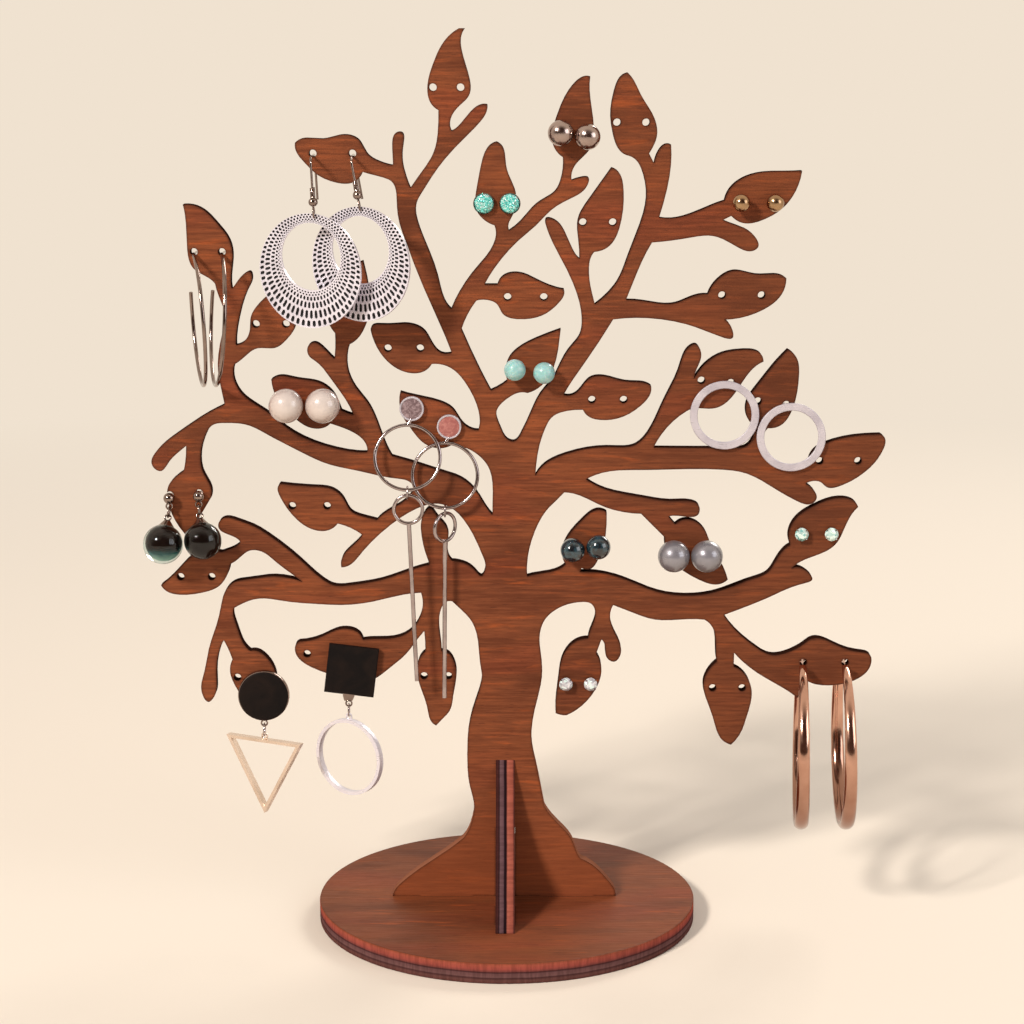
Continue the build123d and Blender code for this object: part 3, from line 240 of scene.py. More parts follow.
def wood(name, grain, thickness, low, high, plies, shift, calm=1.0, painted_light_and_shade=False):
    """Stained plywood: streaked faces, and laser-cut edges that show the plies.

    calm is the strength of the streaks; the flag after it is for the tree, and paints light on the
    face and cut edges near the foot and shade on the face towards the right.
    """
    shader = Shader(name)
    place = shader.place.outputs["Object"]
    broad = shader.noise(along(grain, 14, 46), 3, 0.6, 0.4, shift)
    streak = shader.noise(along(grain, 75, 1250), 4, 0.62, 0.15, shift)
    flame = shader.noise(along(grain, 50, 380), 3, 0.6, 0.5, (shift[2], shift[0], shift[1]))
    pores = shader.noise(along(grain, 210, 2300), 2, 0.7, 0.0, shift)
    red = shader.noise(along(grain, 14, 60), 2, 0.5, 0.3, (shift[1], shift[2], shift[0]))
    face = shader.ramp(
        broad, (0.30, colour(95, 50, 30)), (0.48, colour(117, 64, 39)), (0.70, colour(136, 73, 42)))
    face = shader.mix(shader.ramp(red, (0.52, 0.0), (0.75, 0.5)), face, colour(136, 62, 40))
    dark = shader.ramp(streak, (0.38, 0.50 * calm), (0.55, 0.0))
    face = shader.mix(dark, face, colour(84, 40, 22))
    light = shader.ramp(streak, (0.56, 0.0), (0.74, 0.50 * calm))
    face = shader.mix(light, face, colour(166, 84, 46))
    face = shader.mix(shader.ramp(flame, (0.60, 0.0), (0.74, 0.45)), face, colour(178, 86, 40))
    face = shader.mix(shader.ramp(pores, (0.30, 0.55), (0.40, 0.0)), face, colour(64, 34, 24))
    if painted_light_and_shade:
        height = shader.maths("MULTIPLY", shader.part(place, Z_AXIS), 10.0)
        across = shader.maths("MULTIPLY", shader.part(place, X_AXIS), 8.0)
        # Painted light makes the face paler towards the foot, and painted shade makes it darker
        # towards the right.
        painted_foot_light = shader.ramp(height, (0.14, 0.42), (0.52, 0.0))
        deep = shader.ramp(across, (0.12, 0.0), (0.60, 0.34))
        face = shader.mix(painted_foot_light, face, colour(168, 88, 52))
        face = shader.mix(deep, face, colour(84, 44, 26))
    inside = shader.node("ShaderNodeAmbientOcclusion", inside=True, only_local=True, samples=6)
    inside.inputs["Distance"].default_value = BURN_WIDTH * MM
    burn = shader.ramp(inside.outputs["AO"], (0.40, 0.85), (0.86, 0.0))
    face = shader.mix(burn, face, colour(40, 20, 14))

    level = shader.part(place, thickness)
    share = shader.maths("DIVIDE", shader.maths("SUBTRACT", level, low * MM), (high - low) * MM)
    wobble = shader.maths("SUBTRACT", shader.noise(along(thickness, 30, 90), 2, 0.5), 0.5)
    share = shader.maths("ADD", share, shader.maths("MULTIPLY", wobble, 0.05))
    edge = shader.ramp(share, *plies)
    char = shader.noise(along(thickness, 140, 900), 3, 0.6)
    edge = shader.mix(shader.ramp(char, (0.40, 0.3), (0.62, 0.0)), edge, colour(34, 20, 17))
    if painted_light_and_shade:
        # Painted light makes the cut edges paler towards the foot.
        lit = shader.ramp(height, (0.45, 0.75), (0.68, 0.0))
        edge = shader.mix(lit, edge, colour(158, 100, 74))

    facing = shader.maths("ABSOLUTE", shader.part(shader.place.outputs["Normal"], thickness))
    is_face = shader.ramp(facing, (0.80, 0.0), (0.93, 1.0))
    gloss = shader.ramp(streak, (0.35, 0.56), (0.70, 0.40))
    relief = shader.maths(
        "ADD", shader.maths("MULTIPLY", streak, 0.7), shader.maths("MULTIPLY", pores, 0.5))
    shader.set(
        Base_Color=shader.mix(is_face, edge, face),
        Roughness=shader.mix(is_face, (0.66, 0.66, 0.66, 1), gloss),
        Specular_IOR_Level=shader.mix(is_face, (0, 0, 0, 1), (0.11, 0.11, 0.11, 1)),
        Normal=shader.bump(relief, 0.00012, 0.45))
    return shader.material


def metal(name, base, stain, rough, stretch, depth, spread=0.10, share=1.0):
    """Metal with fine scratches or mottling, and stained patches.

    depth is the scratches' depth in metres; a share of metal under 1 gives a frosted finish.
    """
    shader = Shader(name, Metallic=share)
    fine = shader.noise(stretch, 3, 0.6)
    patch = shader.noise((160, 160, 160), 2, 0.5)
    shader.set(
        Base_Color=shader.mix(shader.ramp(patch, (0.40, 0.0), (0.72, 0.55)), base, stain),
        Roughness=shader.ramp(fine, (0.30, max(rough - spread, 0.03)), (0.70, rough + spread)),
        Normal=shader.bump(fine, depth, 0.6))
    return shader


def pearl(name, base, edge, rough, metallic=0.0):
    """A pearl's lustre: a soft body colour under a clear coat, and painted shade that turns it to a
    darker edge colour towards its rim.
    """
    shader = Shader(
        name, Metallic=metallic, Coat_Weight=1.0, Coat_Roughness=0.06, Sheen_Weight=0.15)
    painted_rim_shade = shader.node("ShaderNodeLayerWeight")
    painted_rim_shade.inputs["Blend"].default_value = 0.45
    cloud = shader.noise((240, 240, 320), 3, 0.55, 0.6)
    body = shader.mix(shader.ramp(cloud, (0.38, 0.0), (0.70, 0.5)), base, darker(base, 0.86))
    # Painted shade: the colour turns to the darker edge colour where the surface faces away from
    # view.
    shader.set(Base_Color=shader.mix(painted_rim_shade.outputs["Facing"], body, edge))
    shader.set(Roughness=shader.ramp(cloud, (0.3, rough), (0.7, rough + 0.12)))
    shader.set(Normal=shader.bump(cloud, 0.00006, 0.4))
    return shader.material


def stone(name, base, vein, rough, size, coat=0.6, soft=0.0):
    """A polished mottled stone."""
    shader = Shader(
        name, Coat_Weight=coat, Coat_Roughness=0.05, Subsurface_Weight=soft, Subsurface_Scale=0.002)
    cloud = shader.noise((size,) * 3, 5, 0.62, 1.2)
    speck = shader.noise((size * 3.1,) * 3, 3, 0.6, 0.4)
    body = shader.mix(shader.ramp(cloud, (0.44, 0.0), (0.66, 1.0)), base, vein)
    body = shader.mix(shader.ramp(speck, (0.30, 0.35), (0.45, 0.0)), body, darker(base, 0.6))
    shader.set(Base_Color=body, Roughness=shader.ramp(cloud, (0.3, rough), (0.7, rough + 0.15)))
    shader.set(Normal=shader.bump(speck, 0.00004, 0.35))
    return shader.material


def sparkle(name, dark, bright, size, metallic, tilt, rough):
    """Flakes that each face their own way and have their own shade."""
    shader = Shader(name, Metallic=metallic, Roughness=rough, Coat_Weight=0.5, Coat_Roughness=0.04)
    flakes = shader.cells(size)
    share = shader.part(flakes.outputs["Color"], X_AXIS)
    glint = colour(232, 255, 248)
    shader.set(Base_Color=shader.ramp(share, (0.15, dark), (0.60, bright), (0.95, glint)))
    turn = shader.node("ShaderNodeVectorMath", operation="SUBTRACT")
    shader.put(turn.inputs[0], flakes.outputs["Color"])
    turn.inputs[1].default_value = (0.5, 0.5, 0.5)
    scaled = shader.node("ShaderNodeVectorMath", operation="SCALE")
    shader.put(scaled.inputs[0], turn.outputs[0])
    scaled.inputs["Scale"].default_value = tilt
    total = shader.node("ShaderNodeVectorMath", operation="ADD")
    shader.put(total.inputs[0], scaled.outputs[0])
    shader.put(total.inputs[1], shader.node("ShaderNodeNewGeometry").outputs["Normal"])
    unit = shader.node("ShaderNodeVectorMath", operation="NORMALIZE")
    shader.put(unit.inputs[0], total.outputs[0])
    shader.set(Normal=unit.outputs[0])
    return shader.material


def glass(name, base, index):
    """Clear glass with a slight haze and waves in its surface."""
    shader = Shader(name, Base_Color=base, Transmission_Weight=1.0, IOR=index)
    haze = shader.noise((30, 30, 30), 3, 0.5, 0.8)
    shader.set(Roughness=shader.ramp(haze, (0.4, 0.0), (0.8, 0.05)))
    shader.set(Normal=shader.bump(haze, 0.0002, 0.12))
    return shader.material


# Materials. Plies are given from the back face to the front one, or from below upwards.
TREE_PLIES = (
    (0.00, colour(52, 26, 16)), (0.14, colour(66, 34, 22)), (0.20, colour(30, 16, 11)),
    (0.36, colour(50, 27, 18)), (0.42, colour(27, 15, 11)), (0.60, colour(58, 31, 21)),
    (0.66, colour(28, 15, 11)), (0.84, colour(50, 27, 18)), (0.90, colour(38, 20, 14)))
BRACE_PLIES = (
    (0.00, colour(58, 30, 28)), (0.12, colour(70, 38, 36)), (0.18, colour(40, 25, 28)),
    (0.24, colour(104, 76, 78)), (0.40, colour(96, 68, 72)), (0.46, colour(30, 18, 22)),
    (0.56, colour(34, 20, 24)), (0.62, colour(170, 94, 76)), (0.88, colour(158, 84, 68)),
    (0.96, colour(84, 44, 38)))
BASE_PLIES = (
    (0.00, colour(92, 56, 50)), (0.18, colour(104, 67, 62)), (0.28, colour(72, 45, 44)),
    (0.34, colour(112, 78, 75)), (0.50, colour(104, 70, 69)), (0.56, colour(62, 38, 38)),
    (0.62, colour(120, 64, 58)), (0.72, colour(152, 74, 64)), (0.90, colour(162, 82, 65)),
    (1.00, colour(132, 70, 48)))
TREE_WOOD = wood("tree_wood", X_AXIS, Y_AXIS, PLATE_FRONT, PLATE_BACK, TREE_PLIES,
                 (0.31, 0.12, 0.77), painted_light_and_shade=True)
BRACE_WOOD = wood("brace_wood", Y_AXIS, X_AXIS, *BRACE_FACES, BRACE_PLIES, (0.83, 0.35, 0.52))
BASE_WOOD = wood("base_wood", X_AXIS, Z_AXIS, 0.0, BASE_TOP, BASE_PLIES, (0.14, 0.91, 0.26), 0.45)

WHITE_PEARL = pearl("white_pearl", colour(212, 197, 187), colour(166, 142, 132), 0.24)
GREY_PEARL = pearl("grey_pearl", colour(146, 142, 148), colour(84, 78, 80), 0.26, 0.45)
AQUA = stone("aqua_stone", colour(140, 190, 187), colour(178, 208, 203), 0.30, 420, 0.5, 0.2)
DARK_STONE = stone("dark_stone", colour(18, 20, 24), colour(40, 74, 84), 0.10, 230, 1.0)
SMOKY_ROSE = stone("smoky_rose", colour(104, 80, 82), colour(158, 134, 136), 0.36, 900, 0.2)
PINK_ROSE = stone("pink_rose", colour(152, 84, 78), colour(182, 118, 108), 0.34, 500, 0.2)
GLITTER = sparkle("glitter", colour(66, 186, 174), colour(140, 240, 228), 0.00042, 0.35, 1.3, 0.16)
CLEAR = sparkle(
    "clear_crystal", colour(176, 172, 178), colour(240, 238, 242), 0.0008, 0.3, 0.5, 0.08)
TURQUOISE = sparkle(
    "turquoise_crystal", colour(128, 190, 186), colour(226, 244, 236), 0.0009, 0.3, 0.5, 0.08)
BALL_GLASS = glass("ball_glass", colour(222, 238, 234), 1.45)

SATIN_SILVER = metal("satin_silver", colour(178, 158, 150), colour(128, 106, 100), 0.19,
                     (620,) * 3, 0.00005).material
GOLD = metal("gold", colour(182, 148, 112), colour(124, 92, 66), 0.20,
             (900,) * 3, 0.00003).material
PALE_GOLD = metal("pale_gold", colour(236, 216, 200), colour(206, 184, 164), 0.26,
                  (900,) * 3, 0.00002).material
STEEL = metal("steel_wire", colour(152, 134, 125), colour(100, 84, 77), 0.15,
              (500,) * 3, 0.00001, 0.06).material
BRIGHT = metal("bright_silver", colour(184, 170, 168), colour(118, 102, 98), 0.18,
               (420, 420, 1500), 0.00002, 0.06).material
BRUSHED = metal("brushed_silver", colour(212, 204, 210), colour(176, 168, 178), 0.36,
                (300, 300, 2600), 0.00004, 0.12, 0.45).material
PALE_SILVER = metal("pale_silver", colour(226, 219, 224), colour(216, 208, 214), 0.36,
                    (300, 300, 2600), 0.00004, 0.12, 0.45).material


def hoop_metal():
    """Rose gold, with a painted dark reflection towards the hoops' feet."""
    shader = metal("rose_gold_painted_reflection", colour(214, 168, 146), colour(180, 132, 110), 0.15,
                   (300,) * 3, 0.00001, 0.05)
    height = shader.maths("MULTIPLY", shader.part(shader.place.outputs["Object"], Z_AXIS), 10.0)
    # Painted reflection of a dark floor: the colour darkens towards the hoops' feet.
    painted_dark_reflection = shader.ramp(height, (0.36, 0.72), (0.66, 0.0))
    shader.set(Base_Color=shader.mix(painted_dark_reflection, shader.tone(), colour(112, 74, 58)))
    return shader.material


def enamel():
    """Matt black enamel with a faint orange-peel and a few rubbed places."""
    shader = Shader("black_enamel", Specular_IOR_Level=0.12)
    fine = shader.noise((1400, 1400, 1400), 3, 0.6)
    rub = shader.noise((130, 130, 130), 4, 0.6, 0.8)
    shader.set(Base_Color=shader.ramp(rub, (0.40, colour(16, 11, 10)), (0.72, colour(30, 20, 16))))
    shader.set(Roughness=shader.ramp(rub, (0.35, 0.58), (0.70, 0.42)))
    shader.set(Normal=shader.bump(fine, 0.00004, 0.5))
    return shader.material


def stamped_silver():
    """Bright silver, near black in the stamped hollows."""
    shader = metal("stamped_silver", colour(232, 226, 234), colour(206, 198, 208), 0.26,
                   (900,) * 3, 0.00002, 0.1, 0.4)
    hollow = shader.node("ShaderNodeAttribute", attribute_name="hollow").outputs["Fac"]
    gloss = shader.surface.inputs["Roughness"].links[0].from_socket
    shader.set(Base_Color=shader.mix(hollow, shader.tone(), colour(16, 12, 14)))
    shader.set(Roughness=shader.mix(hollow, gloss, (0.6, 0.6, 0.6, 1)))
    return shader.material


def painted_reflection_core(name, *shades):
    """The dark heart of a glass drop, a painted reflection of a dark room, in shades from its foot
    to its top; the teal heart's pale foot is painted light.
    """
    shader = Shader(name, Specular_IOR_Level=0.03)
    height = shader.part(shader.place.outputs["Generated"], Z_AXIS)
    swirl = shader.noise((160, 160, 160), 3, 0.5, 1.5)
    drift = shader.maths("MULTIPLY", shader.maths("SUBTRACT", swirl, 0.5), 0.30)
    level = shader.maths("ADD", height, drift)
    shader.set(Base_Color=shader.ramp(level, *shades))
    shader.set(Roughness=shader.ramp(swirl, (0.3, 0.08), (0.7, 0.2)))
    return shader.material


ROSE_STONES = {"left": SMOKY_ROSE, "right": PINK_ROSE}
HOOP_METAL = hoop_metal()
ENAMEL = enamel()
STAMPED = stamped_silver()
# Painted reflection of a dark room in the drops; the teal heart's pale foot is painted light.
PAINTED_CORES = {
    "left": painted_reflection_core(
        "painted_reflection_teal", (0.05, colour(150, 196, 184)), (0.20, colour(44, 96, 98)),
        (0.36, colour(18, 34, 34)), (0.46, colour(30, 18, 14))),
    "right": painted_reflection_core(
        "painted_reflection_brown", (0.10, colour(18, 12, 10)), (0.60, colour(30, 19, 15)))}


# Forms
def turns_of(count, shift=0.0):
    """Equal turns round a circle, in radians; shift is a share of one step."""
    return [FULL_TURN * (i + shift) / count for i in range(count)]


class Form:
    """Points and faces of one piece, in millimetres, gathered from rows of points."""

    def __init__(self):
        self.points, self.faces, self.hollow = [], [], []

    def add(self, points, faces, place=Matrix.Identity(4), hollow=None):
        start = len(self.points)
        self.points += [place @ Vector(p) for p in points]
        self.faces += [[start + i for i in face] for face in faces]
        self.hollow += hollow or [0.0] * len(points)

    def rows(self, rows, place=Matrix.Identity(4), closed=False, caps=True):
        """Rings of equally many points, joined one to the next."""
        count = len(rows[0])
        faces = []
        for k in range(len(rows) if closed else len(rows) - 1):
            a, b = k * count, (k + 1) % len(rows) * count
            for i in range(count):
                after = (i + 1) % count
                faces.append([a + i, a + after, b + after, b + i])
        if caps and not closed:
            faces.append(list(range(count))[::-1])
            faces.append([(len(rows) - 1) * count + i for i in range(count)])
        self.add([p for row in rows for p in row], faces, place)

    def lathe(self, profile, place=Matrix.Identity(4), steps=48, closed=False):
        """A profile of (radius, height) turned round +Z."""
        turns = turns_of(steps)
        rows = []
        for radius, height in profile:
            rows.append([(radius * math.cos(t), radius * math.sin(t), height) for t in turns])
        self.rows(rows, place, closed)

    def ball(self, radius, place=Matrix.Identity(4), steps=48, rows=28, tall=1.0):
        turns = [math.pi * (i + 0.5) / rows for i in range(rows)]
        profile = [(radius * math.sin(t), -radius * tall * math.cos(t)) for t in turns]
        self.lathe(profile, place, steps)

    def tube(self, path, radius, sides=14, closed=False, place=Matrix.Identity(4)):
        """A round wire along points; radius is one number or one for each point."""
        path = [Vector(p) for p in path]
        count = len(path)
        radii = radius if isinstance(radius, (list, tuple)) else [radius] * count
        turns = turns_of(sides)
        side = None
        rows = []
        for i, p in enumerate(path):
            before = path[i - 1] if i or closed else p
            after = path[(i + 1) % count] if i < count - 1 or closed else p
            ahead = (after - before).normalized()
            if side is None:
                side = ahead.orthogonal().normalized()
            side = (side - ahead * side.dot(ahead)).normalized()
            other = ahead.cross(side)
            rows.append([p + (side * math.cos(t) + other * math.sin(t)) * radii[i] for t in turns])
        self.rows(rows, place, closed)

    def ring(self, radius, wire, place, steps, sides):
        """A closed wire ring in the XY plane."""
        path = [(radius * math.cos(t), radius * math.sin(t), 0) for t in turns_of(steps)]
        self.tube(path, wire, sides, True, place)

    def piece(self, name, material, body, slot, *replaced, crease=38):
        """Makes the mesh, in metres, and lets it ride on its body."""
        mesh = bpy.data.meshes.new(name)
        mesh.from_pydata([p * MM for p in self.points], [], self.faces)
        mesh.validate()
        if any(self.hollow):
            marks = mesh.attributes.new("hollow", "FLOAT", "POINT")
            marks.data.foreach_set("value", self.hollow)
        work = bmesh.new()
        work.from_mesh(mesh)
        bmesh.ops.recalc_face_normals(work, faces=work.faces)
        work.to_mesh(mesh)
        work.free()
        mesh.shade_smooth()
        mesh.set_sharp_from_angle(angle=math.radians(crease))
        mesh.materials.append(material)
        made = bpy.data.objects.new(name, mesh)
        bpy.context.scene.collection.objects.link(made)
        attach(made, body)
        if replaced:
            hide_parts(*replaced)
        return made


def at(x, y, z):
    return Matrix.Translation((x, y, z))


def span(node):
    """A CAD node's lowest and highest corner, in millimetres."""
    low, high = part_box(node)
    return low / MM, high / MM


def paint(node, material, bevel=0.0):
    """A better material on a CAD node, and its sharp edges eased."""
    made = NODES[node]
    made.data.materials.clear()
    made.data.materials.append(material)
    if bevel:
        weld = made.modifiers.new("weld", "WELD")
        weld.merge_threshold = 1e-6
        eased = made.modifiers.new("eased", "BEVEL")
        eased.width = bevel * MM
        eased.segments = 2
        eased.limit_method = "ANGLE"
        eased.angle_limit = math.radians(40)
        eased.harden_normals = True


def post(form, x, z, front):
    """An ear post along +Y, with a groove near its rounded end."""
    length = PLATE_BACK + POST_TAIL - front
    groove, nose = 0.29, 0.22
    profile = [(POST_RADIUS, 0.0), (POST_RADIUS, length - 1.6), (groove, length - 1.45),
               (groove, length - 1.15), (POST_RADIUS, length - 1.0), (POST_RADIUS, length - 0.25),
               (nose, length)]
    form.lathe(profile, at(x, front, z) @ FRONT.inverted(), 16)


# The stand
paint("tree_plate", TREE_WOOD, 0.16)
paint("cross_brace", BRACE_WOOD, 0.18)
paint("base_disc", BASE_WOOD)


def ball_stud(kind, material, slot, side):
    """A ball on a small cup and an ear post."""
    node, body = f"{kind}_stud_{side}", f"{kind}_{side}"
    low, high = span(node)
    radius = (high.x - low.x) / 2
    x, z = low.x + radius, low.z + radius
    ball = Form()
    ball.ball(radius, at(x, low.y + radius, z) @ FRONT)
    ball.piece(f"{kind}_{side}", material, body, slot, node)
    stem = Form()
    cup = [(0.5, 0.0), (1.45, 0.0), (1.6, 0.14), (1.6, 0.62), (1.5, 0.86), (1.2, 0.92), (0.5, 0.6)]
    stem.lathe(cup, at(x, SEAT, z) @ FRONT, 32)
    post(stem, x, z, SEAT - 0.7)
    stem.piece(f"{kind}_post_{side}", STEEL, body, "steel_wire")


def glitter_stud(side):
    """A glitter dome in a thin metal rim."""
    node, body = f"glitter_stud_{side}", f"glitter_{side}"
    low, high = span(node)
    half = (high.x - low.x) / 2
    x, z = low.x + half, low.z + half
    tall = SEAT - low.y
    place = at(x, SEAT, z) @ FRONT
    dome = Form()
    inner, spring = half - 0.35, 0.85
    turns = [math.radians(a) for a in range(0, 88, 8)]
    crown = [(inner * math.cos(t), spring + (tall - spring) * math.sin(t)) for t in turns]
    dome.lathe([(inner * 0.9, 0.4), *crown], place, 40)
    dome.piece(f"glitter_{side}", GLITTER, body, "glitter", node)
    rim = Form()
    rim.lathe([(0.5, 0), (half - 0.2, 0), (half, 0.2), (half, 0.95), (half - 0.14, 1.1),
               (half - 0.32, 1.0), (half - 0.4, 0.5), (0.5, 0.45)], place, 40)
    post(rim, x, z, SEAT - 0.3)
    rim.piece(f"glitter_rim_{side}", STEEL, body, "steel_wire")


def brilliant(form, radius, foot, place):
    """A round brilliant: table, star, bezel and girdle facets, and a pointed pavilion."""
    table, star, girdle = foot + radius * 0.58, foot + radius * 0.40, foot + radius * 0.10

    def round_row(count, share, height, turn=0.0):
        wide = radius * share
        return [(wide * math.cos(t), wide * math.sin(t), height) for t in turns_of(count, turn)]

    points = round_row(8, 0.56, table) + round_row(8, 0.80, star, 0.5) + round_row(16, 1.0, girdle)
    points += round_row(16, 1.0, foot) + [(0, 0, foot - radius * 0.72)]
    faces = [list(range(8))]
    for i in range(8):
        here, after = i, (i + 1) % 8
        faces.append([here, 8 + here, after])
        faces.append([here, 8 + (i - 1) % 8, 16 + 2 * i, 8 + here])
        faces.append([8 + here, 16 + 2 * i, 17 + 2 * i])
        faces.append([8 + here, 17 + 2 * i, 16 + (2 * i + 2) % 16])
    for i in range(16):
        after = (i + 1) % 16
        faces.append([16 + i, 32 + i, 32 + after, 16 + after])
        faces.append([32 + i, 48, 32 + after])
    form.add(points, faces, place)


def crystal_stud(kind, material, side):
    """A round brilliant held by four claws in an open basket."""
    node, body = f"{kind}_stud_{side}", f"{kind}_{side}"
    low, high = span(node)
    radius = (high.x - low.x) / 2
    x, z = low.x + radius, low.z + radius
    place = at(x, SEAT, z) @ FRONT
    gem = Form()
    brilliant(gem, radius * 0.94, 1.32, place)
    gem.piece(f"{kind}_{side}", material, body, kind, node, crease=5)
    basket = Form()
    basket.lathe([(0.5, 0.0), (1.3, 0.0), (1.45, 0.15), (1.3, 0.35), (0.5, 0.35)], place, 24)
    basket.ring(radius * 0.80, 0.16, place @ at(0, 0, 1.0), 40, 8)
    for k in range(4):
        turn = math.pi / 4 + k * math.pi / 2
        profile = ((0.45, 0.1), (0.70, 0.7), (0.90, 1.3), (0.99, 1.8), (0.90, 2.12), (0.74, 2.2))
        claw = [(radius * r * math.cos(turn), radius * r * math.sin(turn), h) for r, h in profile]
        basket.tube(claw, [0.2, 0.2, 0.2, 0.2, 0.19, 0.12], 8, place=place)
    post(basket, x, z, SEAT - 0.2)
    basket.piece(f"{kind}_setting_{side}", BRIGHT, body, "bright_silver")


def band(form, outer, width, thick, place):
    """A flat ring with eased edges, its back at the place's origin."""
    inner, soft = outer - width, 0.22
    profile = [(inner, soft), (inner + soft, 0), (outer - soft, 0), (outer, soft),
               (outer, thick - soft), (outer - soft, thick), (inner + soft, thick),
               (inner, thick - soft)]
    form.lathe(profile, place, 96, closed=True)


def ring_stud(side):
    """A flat ring on a post, which stands a little beside the ring's middle."""
    node = f"ring_stud_{side}"
    shift = RING_STUD_SHIFT[side]
    low, high = span(node)
    outer = (high.x - low.x) / 2
    x, z = low.x + outer, low.z + outer
    form = Form()
    band(form, outer, RING_STUD_WIDTH, RING_STUD_THICKNESS, at(x, SEAT, z) @ FRONT)
    middle = outer - RING_STUD_WIDTH / 2
    post(form, x - shift, z + math.sqrt(middle * middle - shift * shift), SEAT - 0.6)
    form.piece(f"ring_{side}", BRUSHED, node, "brushed_silver", node)


def rounded(corners, reach, steps=8):
    """A path through corners, each turned in a smooth bend."""
    corners = [Vector(c) for c in corners]
    path = [corners[0]]
    for before, here, after in zip(corners, corners[1:], corners[2:]):
        start = here + (before - here).normalized() * reach
        end = here + (after - here).normalized() * reach
        for k in range(steps + 1):
            t = k / steps
            path.append(start * (1 - t) ** 2 + here * 2 * t * (1 - t) + end * t * t)
    return path + [corners[-1]]


def turned(degrees, axis):
    return Matrix.Rotation(math.radians(degrees), 4, axis)


def hook_frame(side):
    """The top of a hook's front leg, leaning to the right; its leg runs down -Z."""
    return at(HOOK_X[side], HOOK_FRONT, HOOK_TOP) @ turned(-HOOK_LEAN[side], "Y")


def filigree_hook(side):
    """A fish hook: wire, wrapped coil, bead and eye."""
    node = f"filigree_hook_{side}"
    drop = HOOK_DROP[side]
    place = hook_frame(side)
    bead = 3.25 - drop
    back = PLATE_BACK + 3.5 - HOOK_FRONT
    form = Form()
    wire = rounded([(0, 0, bead), (0, 0, 0), (0, back, 0), (0, back + 1.0, -15.0)], 3.1)
    form.tube(wire, HOOK_WIRE, 14, place=place)
    start = bead + 1.2
    wraps, rise, steps = 7, 3.4, 14
    turns = [FULL_TURN * k / steps for k in range(steps * wraps + 1)]
    coil = [(0.66 * math.cos(t), 0.66 * math.sin(t), start + rise * t / (FULL_TURN * wraps))
            for t in turns]
    form.tube(coil, 0.25, 8, place=place)
    form.ball(1.55, place @ at(0, 0, bead), 32, 20, 0.96)
    form.ring(HOOK_EYE, 0.32, place @ at(0, 0, -drop) @ SIDEWAYS, 40, 10)
    form.piece(f"hook_{side}", STEEL, node, "steel_wire", node)


def filigree_disc(side):
    """A stamped disc: rows of slots, set like bricks, that grow outwards and towards the foot."""
    node = f"filigree_disc_{side}"
    foot = (hook_frame(side) @ at(0, 0, -HOOK_DROP[side] - HOOK_EYE)).translation
    hang = turned(-DISC_TURN[side], "Z") @ turned(DISC_ROLL[side], "Y")
    place = Matrix.Translation(foot) @ hang @ at(0, 0, -DISC_DROP) @ FRONT
    outer, inner, rise = DISC_RADIUS, DISC_OPENING, DISC_OPENING_RISE
    columns = 136
    levels = (0.0, 0.03, 0.09, 0.16, 0.29, 0.50, 0.78, 0.985, 1.0)
    face = DISC_THICKNESS / 2
    deep = face - 0.28

    def spot(column, level, height):
        """A point between the opening's edge, level 0, and the disc's, level 1."""
        a = FULL_TURN * column / columns
        reach = -rise * math.sin(a) + math.sqrt(outer * outer - (rise * math.cos(a)) ** 2)
        r = inner + (reach - inner) * level
        return (r * math.cos(a), rise + r * math.sin(a), height)

    form = Form()
    for row, (a, b) in enumerate(zip(levels, levels[1:])):
        plain = row in (0, len(levels) - 2)
        middle = (a + b) / 2
        gap = (b - a) * (0.05 if row > 2 else 0.18)
        low_share, high_share = a + (b - a) * 0.22, b - (b - a) * 0.20
        wide = 0.50 if row < 3 else 0.58

        def slot(c, depth, size):
            """The six points of a slot round column c + 1, at a share of its full size."""
            sides = ((-wide, low_share), (0, a + gap), (wide, low_share),
                     (wide, high_share), (0, b - gap), (-wide, high_share))
            return [spot(c + 1 + across * size, middle + (level - middle) * size, depth)
                    for across, level in sides]

        for k in range(0, columns, 2):
            c = k + (row % 2 if not plain else 0)
            rim = [spot(c, a, face), spot(c + 1, a, face), spot(c + 2, a, face),
                   spot(c + 2, b, face), spot(c + 1, b, face), spot(c, b, face)]
            if plain:
                form.add(rim, [[0, 1, 4, 5], [1, 2, 3, 4]], place)
                continue
            points = rim + slot(c, face, 1.0) + slot(c, face - 0.02, 0.94) + slot(c, deep, 0.7)
            faces = [[ring + i, ring + (i + 1) % 6, ring + 6 + (i + 1) % 6, ring + 6 + i]
                     for ring in (0, 6, 12) for i in range(6)]
            faces.append([18, 19, 20, 21, 22, 23])
            form.add(points, faces, place, [0.0] * 12 + [1.0] * 12)
    edges = []
    for level, height in ((0.0, face), (0.0, -face), (1.0, -face), (1.0, face)):
        edges.append([spot(k, level, height) for k in range(columns)])
    form.rows(edges, place, caps=False)
    form.piece(f"filigree_{side}", STAMPED, node, "stamped_silver", node, crease=50)


